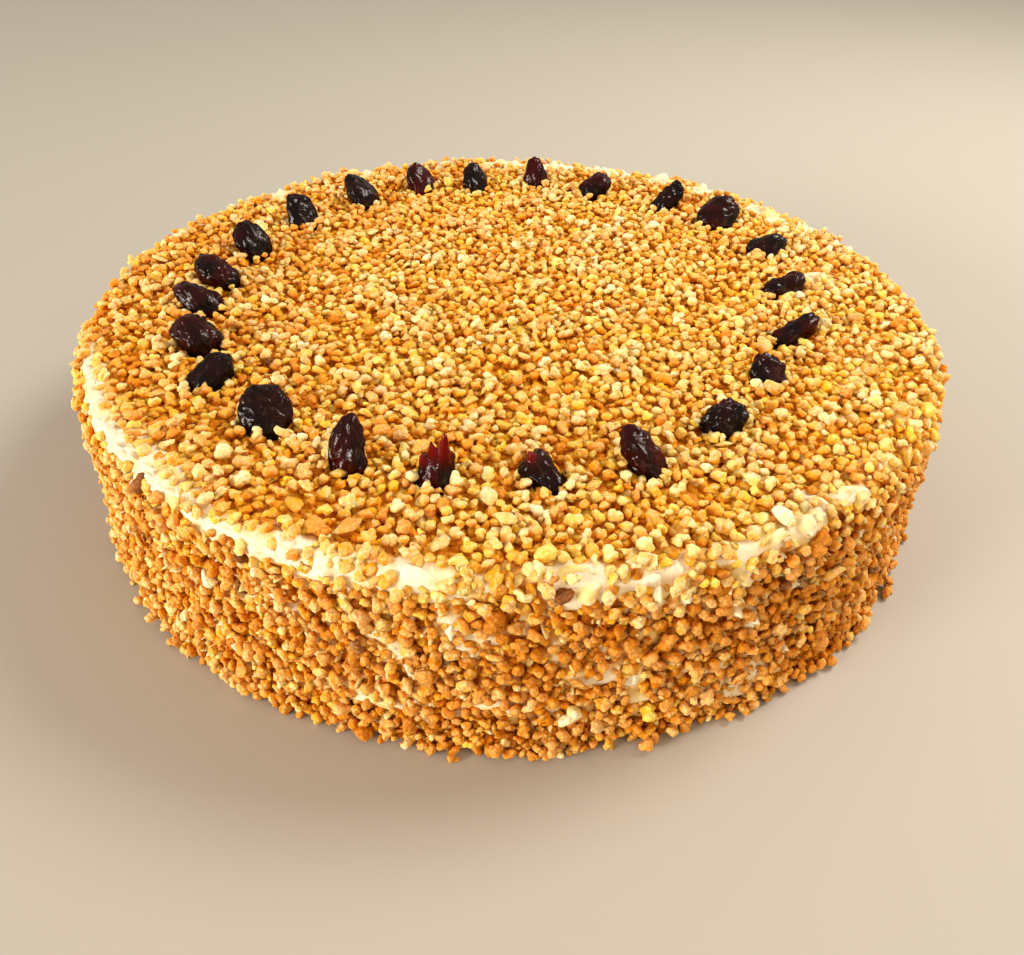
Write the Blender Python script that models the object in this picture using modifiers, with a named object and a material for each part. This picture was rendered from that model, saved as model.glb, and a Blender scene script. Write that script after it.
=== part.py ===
"""Frankfurt crown cake: a round cake coated in buttercream, rolled in brittle, with a ring of dried cherries.

Metres, +Z up. The origin is the middle of the cake's flat base, and the front of the cake faces -Y.
The cake is one solid: its cream coat with the largest crumbs of brittle fused on. Each cherry is a solid
of its own, pressed into a pocket of the cream.
"""

import math
import random
from typing import NamedTuple

import bmesh
import bpy
from mathutils import Matrix, Vector, noise

# Cake: the coat of cream, without the crumbs.
CAKE_RADIUS = 0.1325
CAKE_HEIGHT = 0.0580
FOOT_FLARE = 0.0035  # how much wider the coat is at the foot than at the rim
FOOT_FLARE_POWER = 3  # the higher, the closer to the foot the flare keeps
RIM_ROUNDING = 0.0055
TOP_DIP = 0.0010  # the palette knife leaves the middle this much lower than the rim
CAKE_SEGMENTS = 48
TOP_STEPS = 4
RIM_STEPS = 4
SIDE_STEPS = 4
CREAM_WAVE = 0.0007  # how far the spread cream swells in and out
CREAM_WAVE_LENGTH = 0.028

# Brittle: the largest crumbs of the coat, each a four-sided nugget with a flat top.
CRUMB_COUNT = 310
CRUMB_SIZE = (0.0040, 0.0056)  # smallest and largest
CRUMB_SIDES = 4
CRUMB_DEPTH = 0.80  # depth and top as shares of the size
CRUMB_TOP = 0.62
CRUMB_SUNK = 0.32  # share of its size that a crumb is pressed into the cream
CRUMB_TILT = 0.45  # most that a crumb leans off the cream, in radians
CRUMB_CHIPPED = (0.80, 1.15)  # distance of each corner from a crumb's middle, as a share of the true one
CRUMB_FOOT = 0.65  # lowest middle of a crumb, as a share of its size, which keeps it off the base's plane
CRUMB_JITTER = 0.0035  # how far a crumb lies from its even place
CRUMB_CLEARANCE = 0.6  # gap between a crumb's middle and a cherry, as a share of the crumb's size
CRUMB_SEED = 5
GOLDEN_ANGLE = math.pi * (3 - math.sqrt(5))

# Cherries: the ring's own middle lies a little to the left of the cake's.
RING_OFFSET_X = -0.0026
CHERRY_SINK_LYING = 0.0008  # how deep a cherry on its side is pressed into the cream
CHERRY_SINK_STANDING = 0.0022
CHERRY_GAP = 0.00035  # clearance between a cherry and its pocket
CHERRY_SEGMENTS = 12
CHERRY_RINGS = 7
CHERRY_FOLD = 0.07  # depth of the folds along a cherry, as a share of its half width
CHERRY_LUMP = 0.16  # depth of its shrunken flanks


class Cherry(NamedTuple):
    """One dried cherry, as it was set. Lengths in millimetres, angles in degrees, bearings from +X."""

    bearing: float  # where it sits round the ring
    reach: float  # distance from the ring's middle
    length: float
    width: float
    thickness: float
    heading: float  # the way its raised end points
    lean: float  # how far that end is raised
    roll: float  # turn about its own length, which brings the flat side to the front


# Anticlockwise from the cherry at the back, just right of the middle.
CHERRIES = (
    Cherry(83, 103, 15, 10, 7, 100, 72, 0),
    Cherry(98, 95, 15, 11, 7, 120, 60, 0),
    Cherry(111, 101, 16, 13, 7, 130, 55, 10),
    Cherry(127, 98, 16, 14, 8, 155, 45, 0),
    Cherry(145, 96, 16, 12, 7, 125, 55, 0),
    Cherry(163, 95, 16, 13, 8, 140, 52, 0),
    Cherry(178, 97, 16, 12, 10, 160, 26, 25),
    Cherry(188, 99, 17, 10, 9, 165, 24, 20),
    Cherry(203, 99, 15, 13, 11, 140, 25, 15),
    Cherry(215, 100, 14, 10, 8, 40, 28, 20),
    Cherry(231, 99, 15, 14, 8, 95, 48, 0),
    Cherry(248, 101, 17, 10, 6, 75, 66, 0),
    Cherry(261, 100, 14, 10, 6, 92, 66, 0),
    Cherry(276, 99, 14, 9, 7, 140, 42, 0),
    Cherry(291, 99, 16, 12, 7, 140, 42, 15),
    Cherry(308, 96, 12, 10, 10, 30, 24, 20),
    Cherry(326, 92, 12, 10, 8, 95, 44, 0),
    Cherry(343, 95, 16, 8, 8, 20, 24, 20),
    Cherry(2, 95, 15, 9, 8, 12, 14, 20),
    Cherry(20, 103, 15, 10, 8, 15, 16, 20),
    Cherry(37, 105, 17, 15, 9, 35, 30, 25),
    Cherry(50, 103, 17, 9, 7, 20, 42, 10),
    Cherry(68, 100, 14, 11, 9, 20, 25, 20),
)

BRITTLE_COLOUR = (0.78, 0.42, 0.12, 1.0)
CHERRY_COLOUR = (0.045, 0.006, 0.008, 1.0)


def clear_scene():
    """Removes what the file starts with."""
    for obj in list(bpy.data.objects):
        bpy.data.objects.remove(obj)
    for collection in list(bpy.data.collections):
        bpy.data.collections.remove(collection)


def collection_named(name):
    """A new collection in the scene."""
    collection = bpy.data.collections.new(name)
    bpy.context.scene.collection.children.link(collection)
    return collection


def material_of(name, colour, roughness):
    """A Principled material with no metal in it."""
    material = bpy.data.materials.new(name)
    material.use_nodes = True
    shader = material.node_tree.nodes["Principled BSDF"]
    shader.inputs["Base Color"].default_value = colour
    shader.inputs["Roughness"].default_value = roughness
    shader.inputs["Metallic"].default_value = 0.0
    return material


def object_of(mesh, name, collection):
    """A new object for this mesh, in this collection."""
    obj = bpy.data.objects.new(name, mesh)
    collection.objects.link(obj)
    return obj


def mesh_of(shape, name):
    """A new mesh with this bmesh's shape. The bmesh is then freed."""
    mesh = bpy.data.meshes.new(name)
    shape.to_mesh(mesh)
    shape.free()
    return mesh


def mesh_from(obj):
    """A new mesh of the object as its modifiers leave it. The object is then removed."""
    graph = bpy.context.evaluated_depsgraph_get()
    mesh = bpy.data.meshes.new_from_object(obj.evaluated_get(graph))
    bpy.data.objects.remove(obj)
    return mesh


def side_radius(z):
    """Radius of the coat's flaring side at a height."""
    return CAKE_RADIUS + FOOT_FLARE * (1 - z / CAKE_HEIGHT) ** FOOT_FLARE_POWER


def top_height(r):
    """Height of the coat's top at a distance from the axis."""
    return CAKE_HEIGHT - TOP_DIP * math.sqrt(math.cos(0.5 * math.pi * min(1.0, r / CAKE_RADIUS)))


def cake_profile():
    """The coat's outline in the XZ plane, from the middle of the top down to the middle of the base."""
    flat = CAKE_RADIUS - RIM_ROUNDING
    top = [(r, top_height(r)) for r in (flat * step / TOP_STEPS for step in range(TOP_STEPS + 1))]
    corner = top[-1][1] - RIM_ROUNDING
    rim = [
        (flat + RIM_ROUNDING * math.sin(turn), corner + RIM_ROUNDING * math.cos(turn))
        for turn in (0.5 * math.pi * step / RIM_STEPS for step in range(1, RIM_STEPS + 1))
    ]
    heights = (corner * step / SIDE_STEPS for step in range(SIDE_STEPS - 1, -1, -1))
    side = [(side_radius(z), z) for z in heights]
    return top + rim + side + [(0.0, 0.0)]


def wave_at(point):
    """How far the spread cream swells outward at a point of the coat, fading out towards the flat base."""
    swell = noise.noise(point / CREAM_WAVE_LENGTH)
    return CREAM_WAVE * swell * min(1.0, point.z / RIM_ROUNDING)


def coat_mesh(helpers):
    """The coat of cream: the outline turned round the axis, then swelled by the palette knife's waves."""
    outline = bpy.data.meshes.new("cake_outline")
    points = [(r, 0.0, z) for r, z in cake_profile()]
    outline.from_pydata(points, [(i, i + 1) for i in range(len(points) - 1)], [])
    obj = object_of(outline, "cake_outline", helpers)
    screw = obj.modifiers.new("turn", "SCREW")
    screw.steps = screw.render_steps = CAKE_SEGMENTS
    screw.use_merge_vertices = True
    screw.merge_threshold = 1e-5
    mesh = mesh_from(obj)
    for vertex in mesh.vertices:
        if vertex.co.z > 0:
            vertex.co += vertex.normal * wave_at(vertex.co)
    return mesh


def outline_steps():
    """The outline without its base, as stretches: start, end, length of outline before it, own length."""
    outline = cake_profile()[:-1]
    run = 0.0
    for start, end in zip(outline, outline[1:]):
        length = math.dist(start, end)
        yield start, end, run, length
        run += length


def coat_at(run, bearing):
    """The coat's point and outward normal, at a bearing and a length of outline from the top's middle."""
    steps = list(outline_steps())
    run = min(max(run, 0.0), steps[-1][2] + steps[-1][3])
    (r0, z0), (r1, z1), passed, length = next(step for step in reversed(steps) if step[2] <= run)
    along = (run - passed) / length
    turn = Matrix.Rotation(bearing, 4, "Z")
    normal = turn @ Vector((z0 - z1, 0, r1 - r0)).normalized()
    place = turn @ Vector((r0 + along * (r1 - r0), 0, z0 + along * (z1 - z0)))
    return place + normal * wave_at(place), normal


def even_places(count):
    """Outline lengths and bearings of evenly spread points of the coat, by equal areas and golden angles."""
    steps = list(outline_steps())
    areas = [(start[0] + end[0]) * length for start, end, _, length in steps]
    share = sum(areas) / count
    step, passed = 0, 0.0
    for i in range(count):
        wanted = share * (i + 0.5)
        while passed + areas[step] < wanted:
            passed += areas[step]
            step += 1
        (r0, _), (r1, _), run, length = steps[step]
        along = (wanted - passed) / areas[step]
        if not math.isclose(r0, r1, abs_tol=1e-6):
            along = (math.sqrt(r0 * r0 + along * (r1 * r1 - r0 * r0)) - r0) / (r1 - r0)
        yield run + along * length, i * GOLDEN_ANGLE


def crumb_mesh(size, draw):
    """A nugget of brittle, narrower at its flat top, with its corners knocked out of true."""
    shape = bmesh.new()
    bmesh.ops.create_cone(
        shape,
        cap_ends=True,
        segments=CRUMB_SIDES,
        radius1=size / 2,
        radius2=CRUMB_TOP * size / 2,
        depth=CRUMB_DEPTH * size,
    )
    for vertex in shape.verts:
        vertex.co *= draw.uniform(*CRUMB_CHIPPED)
    return mesh_of(shape, "crumb")


def crumb_turn(normal, draw):
    """The rotation that lays a crumb on the cream, spun at random and leaning a little."""
    lean_axis = Vector([draw.uniform(-1, 1) for _ in range(3)])
    lean = Matrix.Rotation(draw.uniform(0, CRUMB_TILT), 4, lean_axis)
    spin = Matrix.Rotation(draw.uniform(0, 2 * math.pi), 4, "Z")
    return lean @ normal.to_track_quat("Z", "Y").to_matrix().to_4x4() @ spin


def scatter_crumbs(cherries, crumbs):
    """Lays the large crumbs evenly over the coat, partly sunk, except where they would meet a cherry."""
    draw = random.Random(CRUMB_SEED)
    spots = [(cherry.location, max(cherry.dimensions) / 2) for cherry in cherries]
    for run, bearing in even_places(CRUMB_COUNT):
        size = draw.uniform(*CRUMB_SIZE)
        run += draw.uniform(-CRUMB_JITTER, CRUMB_JITTER)
        bearing += draw.uniform(-CRUMB_JITTER, CRUMB_JITTER) / max(run, CRUMB_SIZE[1])
        place, normal = coat_at(run, bearing)
        place += normal * size * (CRUMB_DEPTH / 2 - CRUMB_SUNK)
        place.z = max(place.z, CRUMB_FOOT * size)
        mesh = crumb_mesh(size, draw)
        turn = crumb_turn(normal, draw)
        if all((place - centre).length > reach + CRUMB_CLEARANCE * size for centre, reach in spots):
            crumb = object_of(mesh, "crumb", crumbs)
            crumb.matrix_world = Matrix.Translation(place) @ turn


def wrinkled(direction, seed):
    """How far a cherry's skin stands out in a direction from its middle: folds and a shrunken flank."""
    x, y, z = direction
    angle = math.atan2(z, y)
    folds = math.cos(3 * angle + seed + 0.8 * math.sin(2.2 * x + seed)) * (1 - x * x)
    lumps = noise.noise(Vector(direction) * 1.7 + Vector((seed, 0, 0)))
    return 1 + CHERRY_FOLD * folds + CHERRY_LUMP * lumps


def cherry_mesh(cherry, seed, grow):
    """A dried cherry round the origin, its length along X, with its skin moved out by grow."""
    half = Vector((cherry.length, cherry.width, cherry.thickness)) / 2000
    shape = bmesh.new()
    bmesh.ops.create_uvsphere(shape, u_segments=CHERRY_SEGMENTS, v_segments=CHERRY_RINGS, radius=1.0)
    bmesh.ops.rotate(shape, verts=shape.verts, matrix=Matrix.Rotation(math.pi / 2, 3, "Y"))
    for vertex in shape.verts:
        direction = vertex.co.normalized()
        vertex.co = direction * wrinkled(direction, seed) * half
    bmesh.ops.triangulate(shape, faces=shape.faces)
    bmesh.ops.recalc_face_normals(shape, faces=shape.faces)
    shape.normal_update()
    moves = [vertex.normal * grow for vertex in shape.verts]
    for vertex, move in zip(shape.verts, moves):
        vertex.co += move
    return mesh_of(shape, "cherry")


def cherry_turn(cherry):
    """The rotation that lays a cherry as it was set."""
    heading = Matrix.Rotation(math.radians(cherry.heading), 4, "Z")
    lean = Matrix.Rotation(-math.radians(cherry.lean), 4, "Y")
    roll = Matrix.Rotation(math.radians(cherry.roll), 4, "X")
    return heading @ lean @ roll


def cherry_place(cherry, lowest):
    """Where a cherry's middle goes, with its lowest point pressed into the cream."""
    standing = math.sin(math.radians(cherry.lean))
    sink = CHERRY_SINK_LYING + (CHERRY_SINK_STANDING - CHERRY_SINK_LYING) * standing
    bearing, reach = math.radians(cherry.bearing), cherry.reach / 1000
    x = RING_OFFSET_X + reach * math.cos(bearing)
    return Vector((x, reach * math.sin(bearing), top_height(reach) - sink - lowest))


def set_cherries(cake_parts, cutters):
    """Sets the ring of cherries into the top, and makes the cutter of each one's pocket."""
    skin = material_of("dried_cherry", CHERRY_COLOUR, 0.35)
    placed = []
    for number, cherry in enumerate(CHERRIES, start=1):
        turn = cherry_turn(cherry)
        mesh = cherry_mesh(cherry, number, 0.0)
        lowest = min((turn @ vertex.co).z for vertex in mesh.vertices)
        obj = object_of(mesh, f"dried_cherry_{number:02d}", cake_parts)
        obj.matrix_world = Matrix.Translation(cherry_place(cherry, lowest)) @ turn
        obj.data.materials.append(skin)
        placed.append(obj)
        pocket = object_of(cherry_mesh(cherry, number, CHERRY_GAP), f"pocket_{number:02d}", cutters)
        pocket.matrix_world = obj.matrix_world
        pocket.hide_render = True
        pocket.display_type = "WIRE"
    bpy.context.view_layer.update()
    return placed


def join_cake(coat, crumbs, cutters, cake_parts):
    """One solid: the coat with the cherries' pockets cut out and the crumbs fused on."""
    obj = object_of(coat, "coat", cake_parts)
    for operation, others in (("DIFFERENCE", cutters), ("UNION", crumbs)):
        boolean = obj.modifiers.new(operation.lower(), "BOOLEAN")
        boolean.operation = operation
        boolean.operand_type = "COLLECTION"
        boolean.collection = others
        boolean.solver = "MANIFOLD"
    mesh = mesh_from(obj)
    for collection in (crumbs, cutters):
        for helper in list(collection.objects):
            bpy.data.objects.remove(helper)
        bpy.data.collections.remove(collection)
    mesh.shade_flat()
    mesh.materials.clear()
    mesh.materials.append(material_of("brittle_coat", BRITTLE_COLOUR, 0.5))
    return object_of(mesh, "cake", cake_parts)


def main():
    """Builds the cake and its cherries."""
    clear_scene()
    cake_parts = collection_named("frankfurt_crown_cake")
    cutters = collection_named("cutters")
    crumbs = collection_named("crumbs")
    cherries = set_cherries(cake_parts, cutters)
    scatter_crumbs(cherries, crumbs)
    join_cake(coat_mesh(cutters), crumbs, cutters, cake_parts)


main()
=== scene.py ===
"""Frankfurt crown cake: a coat of buttercream rolled in nut brittle, under a ring of dried cherries.

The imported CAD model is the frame. The cake's solid is replaced by its coat of cream with thousands of real
crumbs on it, and each cherry's solid by a wrinkled skin grown from that same solid. Metres, +Z up, the
origin in the middle of the base, and the front of the cake faces -Y.
"""

from __future__ import annotations

import logging
import math
import random
from dataclasses import dataclass
from enum import Enum
from itertools import product
from typing import Iterator, NamedTuple

import bmesh
import bpy
import numpy as np
from mathutils import Matrix, Quaternion, Vector, noise
from mathutils.bvhtree import BVHTree


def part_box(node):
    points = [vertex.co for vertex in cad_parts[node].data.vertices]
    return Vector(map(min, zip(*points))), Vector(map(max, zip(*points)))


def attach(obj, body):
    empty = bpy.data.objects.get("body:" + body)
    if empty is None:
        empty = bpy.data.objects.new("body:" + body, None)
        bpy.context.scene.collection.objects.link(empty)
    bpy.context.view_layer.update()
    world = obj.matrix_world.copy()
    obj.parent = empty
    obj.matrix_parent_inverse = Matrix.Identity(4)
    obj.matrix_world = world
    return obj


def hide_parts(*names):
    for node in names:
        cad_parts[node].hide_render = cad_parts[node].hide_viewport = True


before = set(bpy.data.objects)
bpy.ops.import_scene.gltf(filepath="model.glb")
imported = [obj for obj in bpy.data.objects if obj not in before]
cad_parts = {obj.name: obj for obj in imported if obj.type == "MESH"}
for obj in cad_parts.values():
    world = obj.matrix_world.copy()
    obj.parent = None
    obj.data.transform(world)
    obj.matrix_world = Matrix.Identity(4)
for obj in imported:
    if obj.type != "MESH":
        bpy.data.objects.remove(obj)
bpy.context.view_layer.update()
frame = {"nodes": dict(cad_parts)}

LOG = logging.getLogger("frankfurt_crown_cake")
MM = 0.001


# ------------------------------------------------------------------ helpers


def linear(hex_colour: str) -> tuple[float, ...]:
    """Turns an sRGB hex value into a linear colour.

    Args:
        hex_colour: a # and six hex digits.

    Returns:
        Red, green, blue and alpha, linear.
    """
    channels = [int(hex_colour[i : i + 2], 16) / 255 for i in (1, 3, 5)]
    turned = [c / 12.92 if c <= 0.04045 else ((c + 0.055) / 1.055) ** 2.4 for c in channels]
    return (*turned, 1.0)


def set_inputs(tree: bpy.types.NodeTree, node: bpy.types.Node, inputs: dict[str | int, object]) -> None:
    """Sets or links a node's inputs.

    Args:
        tree: the material's or world's nodes.
        node: one of them.
        inputs: for each input's name or number a value, an output socket to link, or a node to link by the
            first of its outputs that is in use.
    """
    for name, value in inputs.items():
        if isinstance(value, bpy.types.Node):
            value = next(output for output in value.outputs if output.enabled)
        if isinstance(value, bpy.types.NodeSocket):
            tree.links.new(value, node.inputs[name])
        else:
            node.inputs[name].default_value = value


def add_node(
    tree: bpy.types.NodeTree,
    kind: str,
    inputs: dict[str | int, object] | None = None,
    stops: tuple[tuple[float, str], ...] = (),
    **settings: object,
) -> bpy.types.Node:
    """Adds a node with its settings, and sets or links its inputs.

    Args:
        tree: the material's nodes.
        kind: the node's type name, without the ShaderNode it starts with.
        inputs: what each input gets, as set_inputs takes it.
        stops: for a colour ramp, the position and sRGB hex value of each stop.
        **settings: the node's own properties.

    Returns:
        The new node.
    """
    node = tree.nodes.new("ShaderNode" + kind)
    for name, value in settings.items():
        setattr(node, name, value)
    for number, (position, hex_colour) in enumerate(stops):
        elements = node.color_ramp.elements
        element = elements[number] if number < len(elements) else elements.new(position)
        element.position = position
        element.color = linear(hex_colour)
    set_inputs(tree, node, inputs or {})
    return node


def noise_at(points: np.ndarray, size_mm: float, seed: float = 0.0) -> np.ndarray:
    """Smooth noise, about -1 to 1, at points in metres.

    Args:
        points: one point a row.
        size_mm: distance between the noise's bumps.
        seed: moves the pattern.

    Returns:
        One value for each point.
    """
    scaled = points / (size_mm * MM) + seed
    return np.array([noise.noise(Vector(point)) for point in scaled])


def smoothstep(low: float, high: float, values: np.ndarray) -> np.ndarray:
    """Eases values from 0 at low to 1 at high."""
    t = np.clip((values - low) / (high - low), 0.0, 1.0)
    return t * t * (3 - 2 * t)


def scene_object(name: str, data: bpy.types.ID) -> bpy.types.Object:
    """A new object in the scene with this mesh, light or camera."""
    thing = bpy.data.objects.new(name, data)
    bpy.context.scene.collection.objects.link(thing)
    return thing


def mesh_object(name: str, vertices: np.ndarray, triangles: np.ndarray) -> bpy.types.Object:
    """Makes a smooth mesh object in the scene.

    Args:
        name: the piece's name.
        vertices: one point a row.
        triangles: three vertex numbers a row.

    Returns:
        The new object.
    """
    mesh = bpy.data.meshes.new(name)
    mesh.vertices.add(len(vertices))
    mesh.vertices.foreach_set("co", vertices.astype(np.float32).ravel())
    mesh.loops.add(3 * len(triangles))
    mesh.loops.foreach_set("vertex_index", triangles.astype(np.int32).ravel())
    mesh.polygons.add(len(triangles))
    mesh.polygons.foreach_set("loop_start", np.arange(0, 3 * len(triangles), 3, dtype=np.int32))
    mesh.update(calc_edges=True)
    mesh.shade_smooth()
    return scene_object(name, mesh)


class Part(NamedTuple):
    """A mesh that a piece is joined from, with four numbers a vertex that the piece's material reads."""

    vertices: np.ndarray
    triangles: np.ndarray
    shades: np.ndarray


def dressed_piece(
    name: str, attribute: str, parts: list[Part], material: bpy.types.Material
) -> bpy.types.Object:
    """Joins meshes into one piece and dresses it.

    Args:
        name: the piece's name.
        attribute: what the material calls the numbers that it reads.
        parts: the meshes.
        material: the piece's finish.

    Returns:
        The new piece.
    """
    starts = np.cumsum([0] + [len(part.vertices) for part in parts[:-1]])
    vertices = np.concatenate([part.vertices for part in parts])
    triangles = np.concatenate([part.triangles + start for part, start in zip(parts, starts)])
    shades = np.concatenate([part.shades for part in parts])
    piece = mesh_object(name, vertices, triangles)
    stored = piece.data.attributes.new(attribute, "FLOAT_COLOR", "POINT")
    stored.data.foreach_set("color", shades.astype(np.float32).ravel())
    piece.data.materials.append(material)
    return piece


def ring_faces(count: int, rings: int, first: int, middle: int, base: int) -> np.ndarray:
    """Triangles from a middle vertex out over rings of vertices, and back under them to a base vertex.

    Args:
        count: vertices in each ring.
        rings: how many rings there are.
        first: the first vertex of the innermost ring.
        middle: the vertex inside it.
        base: the vertex that closes the shape below.

    Returns:
        Three vertex numbers a row.
    """
    near = np.arange(count)
    far = (near + 1) % count
    last = first + (rings - 1) * count
    faces = [np.column_stack((np.full(count, middle), first + near, first + far))]
    for here in range(first, last, count):
        there = here + count
        faces.append(np.column_stack((here + near, there + near, there + far)))
        faces.append(np.column_stack((here + near, there + far, here + far)))
    faces.append(np.column_stack((last + near, np.full(count, base), last + far)))
    return np.concatenate(faces)


def helper_object(shape: bmesh.types.BMesh, name: str) -> bpy.types.Object:
    """A helper in the scene with this bmesh's shape. The bmesh is then freed."""
    mesh = bpy.data.meshes.new(name)
    shape.to_mesh(mesh)
    shape.free()
    return scene_object(name, mesh)


def evaluated_mesh(shape: bpy.types.Object) -> tuple[np.ndarray, np.ndarray]:
    """Applies a helper's modifiers and removes the helper.

    Args:
        shape: a mesh object with modifiers.

    Returns:
        Its vertices and its triangles.
    """
    graph = bpy.context.evaluated_depsgraph_get()
    mesh = bpy.data.meshes.new_from_object(shape.evaluated_get(graph))
    bpy.data.objects.remove(shape)
    mesh.calc_loop_triangles()
    vertices = np.empty(3 * len(mesh.vertices))
    mesh.vertices.foreach_get("co", vertices)
    triangles = np.empty(3 * len(mesh.loop_triangles), dtype=np.int32)
    mesh.loop_triangles.foreach_get("vertices", triangles)
    bpy.data.meshes.remove(mesh)
    return vertices.reshape(-1, 3), triangles.reshape(-1, 3)


def normals_of(vertices: np.ndarray, triangles: np.ndarray) -> np.ndarray:
    """The outward direction at each vertex of a closed mesh."""
    a, b, c = (vertices[triangles[:, i]] for i in range(3))
    faces = np.cross(b - a, c - a)
    normals = np.zeros_like(vertices)
    for i in range(3):
        np.add.at(normals, triangles[:, i], faces)
    return normals / np.maximum(np.linalg.norm(normals, axis=1, keepdims=True), 1e-12)


# ----------------------------------------------------------------- finishes


class Pattern(NamedTuple):
    """A noise pattern of a finish, at its real size."""

    size_mm: float  # across its features
    detail: float
    roughness: float = 0.5
    distortion: float = 0.0

    def at(self, place: bpy.types.NodeSocket) -> dict[str, object]:
        """What a noise texture's inputs get, where places are in metres."""
        return {
            "Vector": place,
            "Scale": 1.0 / (self.size_mm * MM),
            "Detail": self.detail,
            "Roughness": self.roughness,
            "Distortion": self.distortion,
        }


class Finish:
    """What every finish shares: its look, on the shader of a fresh material."""

    name: str

    def look(self, tree: bpy.types.NodeTree) -> dict[str, object]:
        """Adds the nodes of its look.

        Args:
            tree: the material's nodes.

        Returns:
            What each input of the shader gets.
        """
        raise NotImplementedError

    def material(self) -> bpy.types.Material:
        """Builds the material."""
        material = bpy.data.materials.new(self.name)
        material.use_nodes = True
        tree = material.node_tree
        set_inputs(tree, tree.nodes["Principled BSDF"], self.look(tree))
        return material


@dataclass(frozen=True)
class BrittleFinish(Finish):
    """Nut brittle, broken small: chopped nuts boiled in sugar, so grainy, part clear and a little shiny.

    Each crumb reads three numbers at its points: its own tint, how high it stands over the cream, which
    paints shade on its low parts and a highlight on its tips, and how much cream was smeared on it as the
    cake was rolled.
    """

    name: str
    light: str  # sugary tips, paler also as a painted highlight
    body: str
    hollow_shade: str  # painted shade of its hollows, and of where the crumb is bedded in the cream among the other crumbs
    cream: str = "#F8DDA4"
    blotch: Pattern = Pattern(2.2, 1.0)
    grain: Pattern = Pattern(0.5, 1.0)
    web: Pattern = Pattern(2.6, 2.0, 0.6)
    nub_mm: float = 1.25
    roughness: tuple[float, float] = (0.38, 0.66)
    gloss: float = 0.10
    glow: float = 0.7  # how much light passes through the sugar

    def look(self, tree: bpy.types.NodeTree) -> dict[str, object]:
        """Adds the nodes of its look.

        Args:
            tree: the material's nodes.

        Returns:
            What each input of the shader gets.
        """
        place = add_node(tree, "TexCoord").outputs["Object"]
        crumb = add_node(tree, "Attribute", attribute_name="crumb")
        split = add_node(tree, "SeparateColor", {"Color": crumb}).outputs
        blotch = add_node(tree, "TexNoise", self.blotch.at(place))
        grain = add_node(tree, "TexNoise", self.grain.at(place))
        # Sugar cakes on the nuts in small rounded nubs with narrow creases between them.
        nubs = add_node(
            tree, "TexVoronoi", {"Vector": place, "Scale": 1.0 / (self.nub_mm * MM)}, feature="F1"
        )
        nub = add_node(
            tree,
            "MapRange",
            {"Value": nubs, "From Max": 0.8, "To Min": 1.0, "To Max": 0.0},
            interpolation_type="SMOOTHSTEP",
        )
        # Painted shade: a crumb is darker the lower it lies over the cream, and in the creases between its
        # nubs. Its tips get a painted highlight, and blotches of sugar and its own tint shift it.
        level = split["Green"]
        for shift, share in ((blotch, 0.7), (split["Red"], 0.4), (nub, 0.5)):
            level = add_node(tree, "Math", {0: shift, 1: share, 2: level}, operation="MULTIPLY_ADD")
        painted_light_tone = add_node(tree, "MapRange", {"Value": level, "From Min": 0.5, "From Max": 2.1})
        # From painted shade in the hollows, through the body's colour, to the sugary tips with their painted
        # highlight.
        stops = ((0.0, self.hollow_shade), (0.45, self.body), (1.0, self.light))
        sugar = add_node(tree, "ValToRGB", {"Fac": painted_light_tone}, stops)
        # Cream clings in blots to the foot of a crumb, and thins out towards its tip.
        web = add_node(tree, "TexNoise", self.web.at(place))
        blot = add_node(
            tree,
            "MapRange",
            {"Value": web, "From Min": 0.44, "From Max": 0.55},
            interpolation_type="SMOOTHSTEP",
        )
        foot = add_node(
            tree,
            "MapRange",
            {"Value": split["Green"], "From Min": 0.25, "From Max": 0.85, "To Min": 1.0, "To Max": 0.3},
        )
        held = add_node(tree, "Math", {0: foot, 1: split["Blue"]}, operation="MULTIPLY")
        smeared = add_node(tree, "Math", {0: blot, 1: held}, operation="MULTIPLY")
        cream = linear(self.cream)
        colour = add_node(tree, "Mix", {"Factor": smeared, "A": sugar, "B": cream}, data_type="RGBA")
        low, high = self.roughness
        roughness = add_node(
            tree,
            "MapRange",
            {"Value": grain, "From Min": 0.3, "From Max": 0.7, "To Min": low, "To Max": high},
        )
        swell = add_node(tree, "Bump", {"Strength": 1.0, "Distance": 0.50 * MM, "Height": nub})
        rough = {"Strength": 0.6, "Distance": 0.14 * MM, "Height": grain, "Normal": swell}
        return {
            "Base Color": colour,
            "Roughness": roughness,
            "Normal": add_node(tree, "Bump", rough),
            "IOR": 1.5,
            "Specular IOR Level": 0.18,
            "Coat Weight": self.gloss,
            "Coat Roughness": 0.2,
            "Subsurface Weight": self.glow,
            "Subsurface Radius": (1.0, 0.84, 0.5),
            "Subsurface Scale": 1.6 * MM,
        }


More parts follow.
